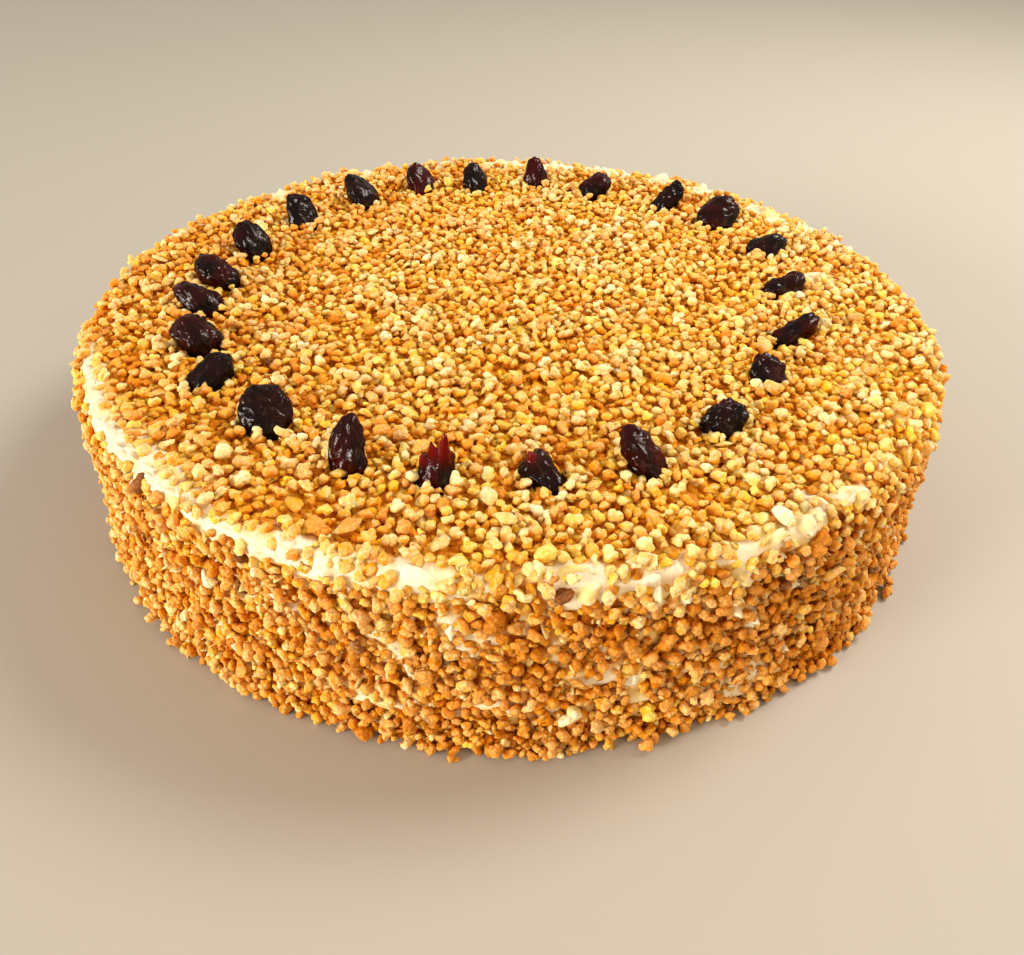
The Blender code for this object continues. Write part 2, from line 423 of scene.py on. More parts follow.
@dataclass(frozen=True)
class ButtercreamFinish(Finish):
    """Buttercream, spread with a palette knife: fat and sugar whipped pale, satin, lit from within.

    It reads two numbers at its points: how clean the cream is of crumb dust, and how yellow it is. Where it
    isn't clean it takes the crust's colour: crumb dust, and painted shade of the gaps between crumbs.
    """

    name: str = "spread_buttercream"
    pale: str = "#F2E6CA"
    buttery: str = "#F1D894"
    stained: str = "#ECA43A"  # sugar and roast from the crumbs bedded in it, and painted shade of the gaps between them
    # the darker crust tone: painted shade of the gaps between crumbs, and crumb dust
    shade: str = "#D68410"
    drift: Pattern = Pattern(7.0, 3.0, 0.6)
    speck: Pattern = Pattern(1.4, 3.0, 0.65)
    smear: Pattern = Pattern(2.0, 4.0, 0.6)

    def look(self, tree: bpy.types.NodeTree) -> dict[str, object]:
        """Adds the nodes of its look.

        Args:
            tree: the material's nodes.

        Returns:
            What each input of the shader gets.
        """
        place = add_node(tree, "TexCoord").outputs["Object"]
        coat = add_node(tree, "Attribute", attribute_name="coat")
        split = add_node(tree, "SeparateColor", {"Color": coat}).outputs
        drift = add_node(tree, "TexNoise", self.drift.at(place))
        speck = add_node(tree, "TexNoise", self.speck.at(place))
        smear = add_node(tree, "TexNoise", self.smear.at(place))
        butter = add_node(tree, "Math", {0: split["Green"], 1: -0.5, 2: drift}, operation="MULTIPLY_ADD")
        cream = add_node(tree, "ValToRGB", {"Fac": butter}, ((0.30, self.buttery), (0.52, self.pale)))
        # Where the coat is covered: crumb dust, and painted shade of the gaps between the crumbs.
        dust_and_gap_shade = add_node(tree, "ValToRGB", {"Fac": speck}, ((0.35, self.shade), (0.65, self.stained)))
        return {
            "Base Color": add_node(
                tree, "Mix", {"Factor": split["Red"], "A": dust_and_gap_shade, "B": cream}, data_type="RGBA"
            ),
            "Normal": add_node(tree, "Bump", {"Strength": 0.7, "Distance": 0.6 * MM, "Height": smear}),
            "Roughness": 0.45,
            "IOR": 1.46,
            "Specular IOR Level": 0.35,
            "Subsurface Weight": 0.2,
            "Subsurface Radius": (1.0, 0.9, 0.6),
            "Subsurface Scale": 1.0 * MM,
        }


@dataclass(frozen=True)
class DriedCherryFinish(Finish):
    """A dried sour cherry: its skin shrunk into wrinkles, nearly black, with sticky gloss and red flesh.

    It reads three numbers at its points: how red it is, how mottled, and how far it is torn open.
    """

    name: str = "dried_cherry_skin"
    skin: str = "#0E0102"
    flesh: str = "#560404"
    syrup: str = "#740608"  # where it is torn open
    bloom: str = "#2A190A"
    mottle: Pattern = Pattern(1.6, 3.0, 0.7)
    wrinkle: Pattern = Pattern(0.8, 2.0, distortion=0.8)

    def look(self, tree: bpy.types.NodeTree) -> dict[str, object]:
        """Adds the nodes of its look.

        Args:
            tree: the material's nodes.

        Returns:
            What each input of the shader gets.
        """
        place = add_node(tree, "TexCoord").outputs["Object"]
        fruit = add_node(tree, "Attribute", attribute_name="fruit")
        split = add_node(tree, "SeparateColor", {"Color": fruit}).outputs
        mottle = add_node(tree, "TexNoise", self.mottle.at(place))
        wrinkle = add_node(tree, "TexNoise", self.wrinkle.at(place))
        patch = add_node(tree, "MapRange", {"Value": mottle, "From Min": 0.48, "From Max": 0.66})
        mottled = add_node(tree, "Math", {0: patch, 1: split["Green"]}, operation="MULTIPLY")
        colour = linear(self.skin)
        for share, over in ((mottled, self.bloom), (split["Red"], self.flesh), (split["Blue"], self.syrup)):
            layer = {"Factor": share, "A": colour, "B": linear(over)}
            colour = add_node(tree, "Mix", layer, data_type="RGBA")
        roughness = add_node(
            tree,
            "MapRange",
            {"Value": mottle, "From Min": 0.3, "From Max": 0.75, "To Min": 0.25, "To Max": 0.55},
        )
        # The syrup on the skin half fills the wrinkles, which break its highlights into small glints.
        bump, glaze = (
            add_node(tree, "Bump", {"Strength": strength, "Distance": 0.4 * MM, "Height": wrinkle})
            for strength in (0.9, 0.3)
        )
        return {
            "Base Color": colour,
            "Roughness": roughness,
            "Normal": bump,
            "Coat Normal": glaze,
            "IOR": 1.42,
            "Specular IOR Level": 0.03,
            "Coat Weight": 0.5,
            "Coat Roughness": 0.05,
        }


@dataclass(frozen=True)
class BoardFinish(Finish):
    """The studio floor: matt painted board, with the faint tooth of a roller."""

    name: str = "matt_painted_board"
    colour: str = "#B6B0A6"
    tooth: Pattern = Pattern(6.0, 2.0)

    def look(self, tree: bpy.types.NodeTree) -> dict[str, object]:
        """Adds the nodes of its look.

        Args:
            tree: the material's nodes.

        Returns:
            What each input of the shader gets.
        """
        place = add_node(tree, "TexCoord").outputs["Object"]
        tooth = add_node(tree, "TexNoise", self.tooth.at(place))
        return {
            "Base Color": linear(self.colour),
            "Normal": add_node(tree, "Bump", {"Strength": 0.05, "Distance": 0.2 * MM, "Height": tooth}),
            "Roughness": 0.7,
        }


# ---------------------------------------------------------------- cake form


class Swell(NamedTuple):
    """Where the cream was spread thicker round the edge. Degrees from +X, and millimetres."""

    bearing: float
    reach: float  # to each side, where it has died away
    out: float


@dataclass(frozen=True)
class CakeForm:
    """The coat's form, from the same sizes as the solid."""

    radius: float = 0.1325
    height: float = 0.0580
    foot_flare: float = 0.0035
    flare_power: int = 3
    rim_rounding: float = 0.0055
    top_dip: float = 0.0010
    wave: float = 0.0007
    wave_length: float = 0.028
    step: float = 0.0004  # between the points of the profile
    inset: float = 0.0010  # of the cream, which leaves room for two layers of crumbs
    oval: float = 0.0024  # how much further the hand-spread coat reaches to its left and right
    swells: tuple[Swell, ...] = (
        Swell(205, 34, 0.9),
        Swell(238, 20, 0.8),
        Swell(315, 34, 0.7),
        Swell(30, 34, 0.7),
    )
    spread_from: float = 0.86  # share of the radius where the coat starts to reach further
    spread_full: float = 0.99
    turn_over: tuple[float, float] = (-1 * MM, 9 * MM)  # past the rim's corner, where top turns into side

    def side_radius(self, z: float) -> float:
        """Radius of the flaring side at a height."""
        return self.radius + self.foot_flare * (1 - z / self.height) ** self.flare_power

    def top_height(self, r: float) -> float:
        """Height of the top at a distance from the axis."""
        return self.height - self.top_dip * math.sqrt(math.cos(0.5 * math.pi * min(1.0, r / self.radius)))

    def profile(self) -> np.ndarray:
        """Radius and height of close points from the middle of the top, round the rim, to the foot."""
        flat = self.radius - self.rim_rounding
        corner = self.top_height(flat) - self.rim_rounding
        top = [(r, self.top_height(r)) for r in np.arange(0.0, flat, self.step)]
        rim = [
            (flat + self.rim_rounding * math.sin(turn), corner + self.rim_rounding * math.cos(turn))
            for turn in np.arange(0.0, 0.5 * math.pi, self.step / self.rim_rounding)
        ]
        side = [(self.side_radius(z), z) for z in np.linspace(corner, 0.0, int(corner / self.step))]
        return np.array(top + rim + side)

    def spread(self, r: np.ndarray, bearing: np.ndarray) -> np.ndarray:
        """How much further than the solid the coat reaches, at distances from the axis and bearings."""
        out = self.oval * np.cos(bearing) ** 2
        for swell in self.swells:
            turn = np.abs(np.angle(np.exp(1j * (bearing - math.radians(swell.bearing)))))
            share = np.clip(turn / math.radians(swell.reach), 0.0, 1.0)
            out = out + swell.out * MM * 0.5 * (1 + np.cos(math.pi * share))
        return out * smoothstep(self.spread_from * self.radius, self.spread_full * self.radius, r)

    def wave_at(self, points: np.ndarray) -> np.ndarray:
        """How far the spread cream swells outward at points, fading out towards the base."""
        swell = np.array([noise.noise(Vector(point) / self.wave_length) for point in points])
        return self.wave * swell * np.minimum(1.0, points[:, 2] / self.rim_rounding)


class Skin:
    """The coat's surface, unrolled: a length of outline from the middle of the top, and a bearing."""

    def __init__(self, form: CakeForm) -> None:
        """Works out the outline's lengths and normals."""
        self.form = form
        self.r, self.z = form.profile().T
        lengths = np.hypot(np.diff(self.r), np.diff(self.z))
        self.run = np.concatenate(([0.0], np.cumsum(lengths)))
        self.slope_r = np.gradient(self.r, self.run)
        self.slope_z = np.gradient(self.z, self.run)
        flat = form.radius - form.rim_rounding
        self.rim_run = flat + 0.25 * math.pi * form.rim_rounding
        self.foot_run = float(self.run[-1])

    def spots(self, run: np.ndarray, bearing: np.ndarray) -> tuple[np.ndarray, np.ndarray]:
        """Points of the surface and the outward directions there.

        Args:
            run: lengths of outline from the middle of the top.
            bearing: angles from +X.

        Returns:
            Points and normals, one a row.
        """
        r, z = np.interp(run, self.run, self.r), np.interp(run, self.run, self.z)
        r = r + self.form.spread(r, bearing)
        out, up = -np.interp(run, self.run, self.slope_z), np.interp(run, self.run, self.slope_r)
        points = np.column_stack((r * np.cos(bearing), r * np.sin(bearing), z))
        normals = np.column_stack((out * np.cos(bearing), out * np.sin(bearing), up))
        normals /= np.maximum(np.linalg.norm(normals, axis=1, keepdims=True), 1e-9)
        points = points - normals * self.form.inset
        points[:, 2] = np.maximum(points[:, 2], 0.0)
        return points, normals

    def side(self, run: np.ndarray) -> np.ndarray:
        """How far down the side places lie: 0 on the top, 1 below the rim."""
        start, end = self.form.turn_over
        return smoothstep(self.rim_run + start, self.rim_run + end, run)

    def drawn(self, count: int, draw: np.random.Generator) -> tuple[np.ndarray, np.ndarray]:
        """Places drawn at random, as many to each area: lengths of outline and bearings."""
        share = np.cumsum(self.r)
        run = np.interp(draw.random(count) * share[-1], share, self.run)
        return run, draw.random(count) * 2 * math.pi


class BarePatch(NamedTuple):
    """A place where the brittle didn't stick and cream stands out. Millimetres, and degrees from +X."""

    bearing: float
    below: float  # along the coat from the rim's corner: down the side, or in over the top if negative
    length: float  # round the cake
    width: float
    slope: float = 0.0  # how much lower its right end lies than its left end
    smear: float = 0.0  # share of the crumbs that stick all the same
    butter: float = 0.0  # how yellow the cream is


# The far side, from the right-hand side anticlockwise, and then what the photograph shows.
BARE_PATCHES = (
    BarePatch(7.5, -21, 17, 9, -4, 0.1, 0.2),
    BarePatch(18.5, -1, 12, 6, 0, 0.05),
    BarePatch(27, -5, 13, 10, 0, 0.1, 0.1),
    BarePatch(35.5, -5.6, 20, 11, 2, 0.0, 0.1),
    BarePatch(50, -4.6, 11, 10),
    BarePatch(59, -4.6, 13, 10),
    BarePatch(70, -4.6, 22, 11),
    BarePatch(81, -4.6, 16, 11),
    BarePatch(92, -4.6, 20, 11),
    BarePatch(104, -3, 9, 7, 0, 0.1),
    BarePatch(121, -3, 12, 7, 1, 0.1),
    BarePatch(139, -4, 15, 9),
    BarePatch(158, 1, 10, 3, 0, 0.2),
    BarePatch(176, 0, 14, 3, 1, 0.2),
    BarePatch(195, -1, 9, 2.6, 0, 0.2),
    BarePatch(203, -2, 20, 3.6, 0, 0.05),
    BarePatch(210, -1.9, 20, 4.4, 0.4),
    BarePatch(216, -1.4, 22, 4.6, 0.5),
    BarePatch(222, -1.2, 22, 4.2, 0.2),
    BarePatch(220.5, -5, 11, 3, -1, 0.5, 0.8),
    BarePatch(224, 2.6, 9, 2, 0.5, 0.3),
    BarePatch(229, -1.2, 24, 3.8, 0.4),
    BarePatch(228.5, -4.6, 17, 4, 0, 0.3, 0.9),
    BarePatch(235.5, -0.7, 11, 3.4, 1.2, 0.1),
    BarePatch(238, 1.4, 5, 3, 1),
    BarePatch(241, 0.4, 6, 2),
    BarePatch(245, 1.6, 15, 3.2, 0.5, 0.1),
    BarePatch(244.5, 8.5, 3, 6, 2, 0.0, 0.2),
    BarePatch(247.5, -0.8, 10, 2, 0, 0.1, 0.3),
    BarePatch(243, 17, 3.6, 2.5, -1),
    BarePatch(246, 14, 5, 2, 3),
    BarePatch(248.3, 19, 3, 2, 5),
    BarePatch(252, -1.2, 10, 2.2, -1.5, 0.0, 0.5),
    BarePatch(252, 2.8, 13, 4, -2.5, 0.1),
    BarePatch(256, 1.7, 6.5, 4, -1, 0.3, 0.6),
    BarePatch(261.4, -0.2, 16.5, 4.2, 0.4),
    BarePatch(259, 4, 4, 5, 0, 0.2, 0.4),
    BarePatch(263, 3.4, 9, 3, 1, 0.4, 0.5),
    BarePatch(265, 3, 3.5, 3, 0.5),
    BarePatch(267.5, 2, 3, 2.5),
    BarePatch(276.3, -1.8, 14, 3.2, 1, 0.1, 0.5),
    BarePatch(276.6, 2.6, 11.5, 7, 1, 0.0, 0.3),
    BarePatch(283, 1.7, 9.5, 3.8, -1.6, 0.05),
    BarePatch(283.8, 5.5, 2, 7),
    BarePatch(286, -0.3, 5.5, 3.4, -0.5),
    BarePatch(287, 6.3, 3.5, 6),
    BarePatch(297, -0.8, 22, 3.6, -0.5, 0.05, 0.1),
    BarePatch(302, -0.8, 14, 6.4, -2.5, 0.05, 0.1),
    BarePatch(304.7, -5, 5, 6, 3, 0.0, 0.1),
    BarePatch(308, -2.9, 12, 3.6, 1, 0.1),
    BarePatch(310.5, -1, 6, 4, 1.5),
    BarePatch(317, -3.6, 7, 4.4, 0, 0.2),
    BarePatch(329, -5, 8, 2, 3, 0.2),
    BarePatch(327, 1, 8, 2),
    BarePatch(336, -17, 18, 4, 0, 0.5, 0.4),
    BarePatch(346, -1, 11, 4, 0, 0.1),
    BarePatch(257.5, 21.5, 7, 4, 4, 0.1),
    BarePatch(264.2, 14, 2.6, 6, 2),
    BarePatch(266.5, 16.6, 4, 2, 0.7),
    BarePatch(266, 21, 4, 3, 2),
    BarePatch(259.8, 31, 3, 3, 5),
    BarePatch(255.7, 42.5, 11, 3, 1.5, 0.1, 0.3),
    BarePatch(260.3, 40.5, 2.2, 3),
    BarePatch(268, 40, 4.5, 2.4),
    BarePatch(270.2, 41, 3.6, 3.4),
    BarePatch(279, 31.5, 8, 2.6, 1.3),
    BarePatch(282.8, 33.5, 3.6, 6, 4, 0.2),
    BarePatch(284, 41, 5, 2, 1.3),
    BarePatch(293.5, 6.6, 6, 6, 3.6),
    BarePatch(293.4, 16.3, 3.4, 4, 1),
    BarePatch(296.3, 24, 3, 7, 1.5),
    BarePatch(292.8, 36.5, 5, 3, 0, 0.2),
    BarePatch(294.6, 48, 12, 4, 5, 0.2),
    BarePatch(298, 43, 8, 6, 3.6, 0.2),
    BarePatch(303.6, 14.3, 4, 3.4, 2),
    BarePatch(310.3, 10.3, 3, 4, 2),
    BarePatch(301.5, 16.5, 3, 2.5, 1.6),
    BarePatch(313.4, 42, 6, 3, -2),
    BarePatch(315.4, 38, 5, 2, 2),
    BarePatch(322, 27, 4, 3, 2),
)


@dataclass
class Bareness:
    """Where the cream shows: the patches, and specks of cream all over the side."""

    skin: Skin
    patches: tuple[BarePatch, ...] = BARE_PATCHES
    ragged: float = 0.9  # how far noise moves a patch's edge, in millimetres
    ragged_mm: float = 3.2
    nick_mm: float = 1.4  # between the smaller notches of the edge
    soft: float = 0.4  # half the width over which a patch ends, in millimetres
    speck_mm: float = 4.4
    specked: tuple[float, float] = (-0.08, 0.26)  # noise where specks start, and are full
    halo: float = 3.4  # how far cream is smeared on the crumbs round a patch, in millimetres

    def cover(
        self, run: np.ndarray, bearing: np.ndarray, points: np.ndarray
    ) -> tuple[np.ndarray, np.ndarray, np.ndarray]:
        """How bare the coat is at places of it.

        Args:
            run: lengths of outline from the middle of the top.
            bearing: angles from +X.
            points: the same places in space.

        Returns:
            Bareness from 0 to 1, the share of crumbs that stick all the same, and how near a patch is, from
            0 to 1.
        """
        edge = self.ragged * noise_at(points, self.ragged_mm, seed=3.7)
        edge = edge + 0.5 * self.ragged * noise_at(points, self.nick_mm, seed=9.1)
        bare, smear, near = np.zeros(len(run)), np.zeros(len(run)), np.zeros(len(run))
        below = (run - self.skin.rim_run) / MM
        for patch in self.patches:
            turn = np.angle(np.exp(1j * (bearing - math.radians(patch.bearing))))
            along = turn * self.skin.form.radius / MM / (0.5 * patch.length)
            across = (below - patch.below - 0.5 * patch.slope * along) / (0.5 * patch.width)
            outside = (np.hypot(along, across) - 1) * 0.5 * min(patch.length, patch.width)
            here = smoothstep(self.soft, -self.soft, outside + edge)
            smear = np.where(here > bare, patch.smear, smear)
            bare = np.maximum(bare, here)
            near = np.maximum(near, smoothstep(self.halo, 0.0, outside + 2 * edge))
        return bare, smear, near

    def specks(self, run: np.ndarray, points: np.ndarray) -> np.ndarray:
        """How much cream shows between and on the crumbs of the side, from 0 to 1."""
        return self.skin.side(run) * smoothstep(*self.specked, noise_at(points, self.speck_mm, seed=61.0))


# -------------------------------------------------------------- cream coat


@dataclass
class CreamCoat:
    """The coat of cream that the crumbs are bedded in, stained by them and painted with the shade of the
    gaps between them where it is covered.
    """

    skin: Skin
    bareness: Bareness
    finish: ButtercreamFinish = ButtercreamFinish()
    segments: int = 420
    top_step: float = 7 * MM  # between rings under the closed carpet of crumbs
    rim_step: float = 1.8 * MM  # between rings where cream can show
    rim_zone: float = 12 * MM
    lump: float = 0.8 * MM  # of sugar and fine crumbs worked into it
    lump_mm: float = 3.6
    smoothed: float = 0.5  # share of a lump that the knife takes off where the cream is bare
    welled: float = 2.2 * MM  # how much higher it stands between the crumbs near a patch
    webbed: float = 1.3 * MM  # and where it shows between those of the side
    filled: float = 0.4 * MM  # how much sugar dust and fine crumbs fill the gaps on the top
    web_clean: float = 0.8  # how clean the cream between the side's crumbs is, free of crumb dust and painted shade, beside a patch's

    def grid(self) -> tuple[np.ndarray, np.ndarray, np.ndarray]:
        """Outline lengths and bearings of the vertices, and the triangles between them."""
        start = self.skin.rim_run - self.rim_zone
        coarse = np.arange(self.top_step, start, self.top_step)
        fine = np.linspace(start, self.skin.foot_run, int((self.skin.foot_run - start) / self.rim_step))
        rings = np.concatenate((coarse, fine))
        turns = np.arange(self.segments) * 2 * math.pi / self.segments
        run = np.concatenate(([0.0], np.repeat(rings, self.segments)))
        bearing = np.concatenate(([0.0], np.tile(turns, len(rings))))
        return run, bearing, ring_faces(self.segments, len(rings), 1, 0, len(run))

    def build(self) -> bpy.types.Object:
        """Builds and dresses the coat.

        Returns:
            The piece.
        """
        run, bearing, triangles = self.grid()
        points, normals = self.skin.spots(run, bearing)
        bare, _, near = self.bareness.cover(run, bearing, points)
        specks = self.bareness.specks(run, points)
        form = self.skin.form
        fade = np.minimum(1.0, points[:, 2] / form.rim_rounding)
        lumps = np.abs(noise_at(points, self.lump_mm, seed=21.0))
        lift = form.wave_at(points)
        lift += fade * self.lump * (1 - self.smoothed * bare) * lumps
        lift += fade * np.maximum(self.welled * near, self.webbed * specks)
        lift += self.filled * (1 - self.skin.side(run)) * (1 - near)
        vertices = np.vstack((points + normals * lift[:, None], (0.0, 0.0, 0.0)))
        # Where it is covered, the coat takes the crust's colour, which is also painted shade of the gaps
        # between crumbs.
        clean = np.append(np.maximum(near, self.web_clean * specks), 0.5)
        shades = np.column_stack((clean, 1 - clean, clean, np.ones(len(clean))))
        part = Part(vertices, triangles, shades)
        return dressed_piece("cream_coat", "coat", [part], self.finish.material())


class Dab(NamedTuple):
    """A dab of cream lying on the coat. Lengths in metres, angles in radians."""

    run: float
    bearing: float
    half: tuple[float, float]  # along and across its stroke
    turn: float  # of its stroke, from level towards downhill
    slope: float  # further drop of its right end
    crest: float
    butter: float


@dataclass
class CreamSmears:
    """Cream that stands out through the brittle: smears along the rim, and dabs pressed between crumbs.

    Each is a closed lens with a ragged edge sunk in the coat, and the knife's streaks along it.
    """

    skin: Skin
    finish: ButtercreamFinish = ButtercreamFinish()
    patches: tuple[BarePatch, ...] = BARE_PATCHES
    facet: float = 0.78 * MM
    crest: tuple[float, float] = (2.2 * MM, 3.8 * MM)  # of narrow and of wide smears, and of dabs
    wide: float = 6 * MM
    under: float = 0.9 * MM  # how far a smear reaches under the crumbs round it
    sunk: float = 0.7 * MM
    ragged: float = 0.28
    notches: tuple[float, float] = (1.7, 4.1)  # broad and fine ones round the ragged edge
    lumpy: float = 0.8  # of the crest
    lump_mm: float = 3.0
    streaked: float = 0.25  # of the crest
    streak_mm: float = 1.1
    streak_drag: float = 0.22  # below 1 the streaks run along the stroke
    dabs: int = 1450
    dab_half: tuple[float, float] = (0.7 * MM, 2.4 * MM)
    seed: int = 5

    def smears(self) -> Iterator[Dab]:
        """The smears where the brittle didn't stick."""
        for patch in self.patches:
            rise = self.crest[0] + (self.crest[1] - self.crest[0]) * min(1.0, patch.width * MM / self.wide)
            yield Dab(
                self.skin.rim_run + patch.below * MM,
                math.radians(patch.bearing),
                (0.5 * patch.length * MM + self.under, 0.5 * patch.width * MM + self.under),
                0.0,
                patch.slope * MM,
                rise * (1 - 0.5 * patch.smear),
                patch.butter,
            )

    def pressed(self) -> Iterator[Dab]:
        """Small dabs that came up between the crumbs of the side as the cake was rolled."""
        draw = random.Random(self.seed)
        for _ in range(self.dabs):
            half = draw.uniform(*self.dab_half)
            yield Dab(
                draw.uniform(self.skin.rim_run + 3 * MM, self.skin.foot_run - 2 * MM),
                draw.uniform(0, 2 * math.pi),
                (half, half * draw.uniform(0.3, 0.6)),
                draw.uniform(-1.2, 1.2),
                0.0,
                draw.uniform(*self.crest),
                draw.uniform(0.2, 0.8),
            )

    def lens(self, dab: Dab, number: int) -> Part:
        """One dab's mesh.

        Args:
            dab: its place and size.
            number: its own number, which sets its raggedness.

        Returns:
            The mesh, with clean cream's numbers.
        """
        count = max(10, int(math.pi * (dab.half[0] + dab.half[1]) / self.facet))
        rings = max(2, int(dab.half[1] / self.facet) + 1)
        turns = np.append(np.tile(np.arange(count) * 2 * math.pi / count, rings), 0.0)
        reach = np.append(np.repeat((np.arange(rings) + 1) / rings, count), 0.0)
        rim = np.column_stack((np.cos(turns), np.sin(turns), np.full(len(turns), 3.1 * number)))
        broad, fine = (noise_at(rim * notches, 1 / MM) for notches in self.notches)
        edge = 1 + self.ragged * (broad + 0.35 * fine)
        along = reach * edge * dab.half[0] * np.cos(turns)
        across = reach * edge * dab.half[1] * np.sin(turns)
        level = along * math.cos(dab.turn) - across * math.sin(dab.turn)
        down = along * math.sin(dab.turn) + across * math.cos(dab.turn)
        run = np.minimum(dab.run + (down + 0.5 * dab.slope * along / dab.half[0]), self.skin.foot_run)
        points, normals = self.skin.spots(run, dab.bearing + level / self.skin.form.radius)
        drag = np.column_stack((self.streak_drag * along, across, np.full(len(along), 0.01 * number)))
        lumps = self.lumpy * noise_at(points, self.lump_mm, seed=8.0)
        streaks = self.streaked * noise_at(drag, self.streak_mm, seed=2.0)
        lift = dab.crest * np.maximum(0.0, 1 - reach**2) * (0.9 + lumps + streaks)
        lift -= self.sunk * reach**4
        under = points[-1] - normals[-1] * 1.5 * self.sunk
        vertices = np.vstack((points + normals * lift[:, None], under))
        vertices[:, 2] = np.maximum(vertices[:, 2], 0.0)
        # Seen from outside, a dab's rings run clockwise, so its triangles are turned round.
        triangles = ring_faces(count, rings, 0, rings * count, rings * count + 1)[:, (0, 2, 1)]
        return Part(vertices, triangles, np.tile((1.0, dab.butter, 1.0, 1.0), (len(vertices), 1)))

    def build(self) -> bpy.types.Object:
        """Builds and dresses the smears and dabs.

        Returns:
            The piece.
        """
        dabs = [*self.smears(), *self.pressed()]
        parts = [self.lens(dab, number) for number, dab in enumerate(dabs)]
        return dressed_piece("cream_smears", "coat", parts, self.finish.material())


# ------------------------------------------------------------ brittle coat


class Shape(NamedTuple):
    """A crumb's mesh, about one unit broad, with its upper side towards +Z."""

    vertices: np.ndarray
    triangles: np.ndarray


class Recipe(NamedTuple):
    """What a crumb is made up of. Lengths are shares of its breadth."""

    lumps: tuple[int, int]  # fewest and most
    radius: tuple[float, float]  # of a lump
    spread: float  # of the lumps from its middle
    corners: int  # of a chopped lump, or 0 for a round one
    flat: float  # its height
    triangles: int


class Build(Enum):
    """The kinds of crumb."""

    CLUSTER = Recipe((5, 8), (0.22, 0.34), 0.36, 0, 0.82, 108)
    CHUNK = Recipe((3, 5), (0.28, 0.42), 0.30, 0, 0.80, 76)
    FLAKE = Recipe((1, 2), (0.46, 0.58), 0.16, 10, 0.42, 52)
    NUGGET = Recipe((2, 4), (0.30, 0.42), 0.28, 0, 0.84, 52)
    CHIP = Recipe((1, 2), (0.38, 0.50), 0.24, 9, 0.78, 28)
    BEDDED = Recipe((1, 3), (0.34, 0.50), 0.22, 0, 0.62, 24)


@dataclass(frozen=True)
class CrumbMould:
    """Makes crumbs: lumps run together, roughened, then thinned to few triangles."""

    voxel: float = 0.075
    roughness: tuple[float, float] = (0.08, 0.05)  # broad and fine
    pitch: tuple[float, float] = (0.40, 0.17)  # of that roughness, as shares of the breadth
    squash: tuple[float, float] = (0.65, 1.35)  # of each lump, along each of its axes
    bedded: float = 0.55  # share of the underside's depth that is kept; the rest is flat

    def direction(self, draw: random.Random) -> Vector:
        """A direction drawn at random."""
        return Vector([draw.gauss(0, 1) for _ in range(3)]).normalized()

    def lump(self, shape: bmesh.types.BMesh, recipe: Recipe, draw: random.Random) -> None:
        """Adds one lump of a crumb: a squashed, turned ball, or the hull of a few points of one."""
        radius = draw.uniform(*recipe.radius)
        stretch = Vector([draw.uniform(*self.squash) for _ in range(3)]) * radius
        turn = Quaternion([draw.gauss(0, 1) for _ in range(4)]).normalized().to_matrix()
        shift = self.direction(draw) * recipe.spread
        if recipe.corners:
            points = [self.direction(draw) for _ in range(recipe.corners)]
            made = [shape.verts.new(point) for point in points]
        else:
            made = bmesh.ops.create_icosphere(shape, subdivisions=2, radius=1.0)["verts"]
        for vertex in made:
            vertex.co = turn @ (vertex.co * stretch) + shift * draw.uniform(0.94, 1.06)
        if recipe.corners:
            bmesh.ops.convex_hull(shape, input=made)

    def shape(self, recipe: Recipe, draw: random.Random) -> Shape:
        """Makes one crumb.

        Args:
            recipe: what it is made up of.
            draw: the seeded source of every random choice.

        Returns:
            Its mesh.
        """
        lump = bmesh.new()
        for _ in range(draw.randint(*recipe.lumps)):
            self.lump(lump, recipe, draw)
        helper = helper_object(lump, "lump")
        remesh = helper.modifiers.new("run_together", "REMESH")
        remesh.mode = "VOXEL"
        remesh.voxel_size = self.voxel
        vertices, triangles = evaluated_mesh(helper)
        seed = draw.uniform(0, 100)
        direction = normals_of(vertices, triangles)
        for strength, pitch in zip(self.roughness, self.pitch):
            vertices = vertices + direction * (strength * noise_at(vertices, pitch / MM, seed))[:, None]
        vertices -= 0.5 * (vertices.max(axis=0) + vertices.min(axis=0))
        breadth = math.sqrt(np.ptp(vertices[:, 0]) * np.ptp(vertices[:, 1]))
        vertices[:, 2] *= recipe.flat * breadth / np.ptp(vertices[:, 2])
        vertices[:, 2] = np.maximum(vertices[:, 2], -0.5 * recipe.flat * breadth * self.bedded)
        rebuilt = bmesh.new()
        made = [rebuilt.verts.new(point) for point in vertices / breadth]
        for a, b, c in triangles:
            rebuilt.faces.new((made[a], made[b], made[c]))
        helper = helper_object(rebuilt, "crumb")
        thin = helper.modifiers.new("thin", "DECIMATE")
        thin.ratio = recipe.triangles / len(triangles)
        return Shape(*evaluated_mesh(helper))

    def shapes(self, build: Build, count: int, seed: int) -> list[Shape]:
        """Several crumbs of one kind."""
        draw = random.Random(seed)
        return [self.shape(build.value, draw) for _ in range(count)]


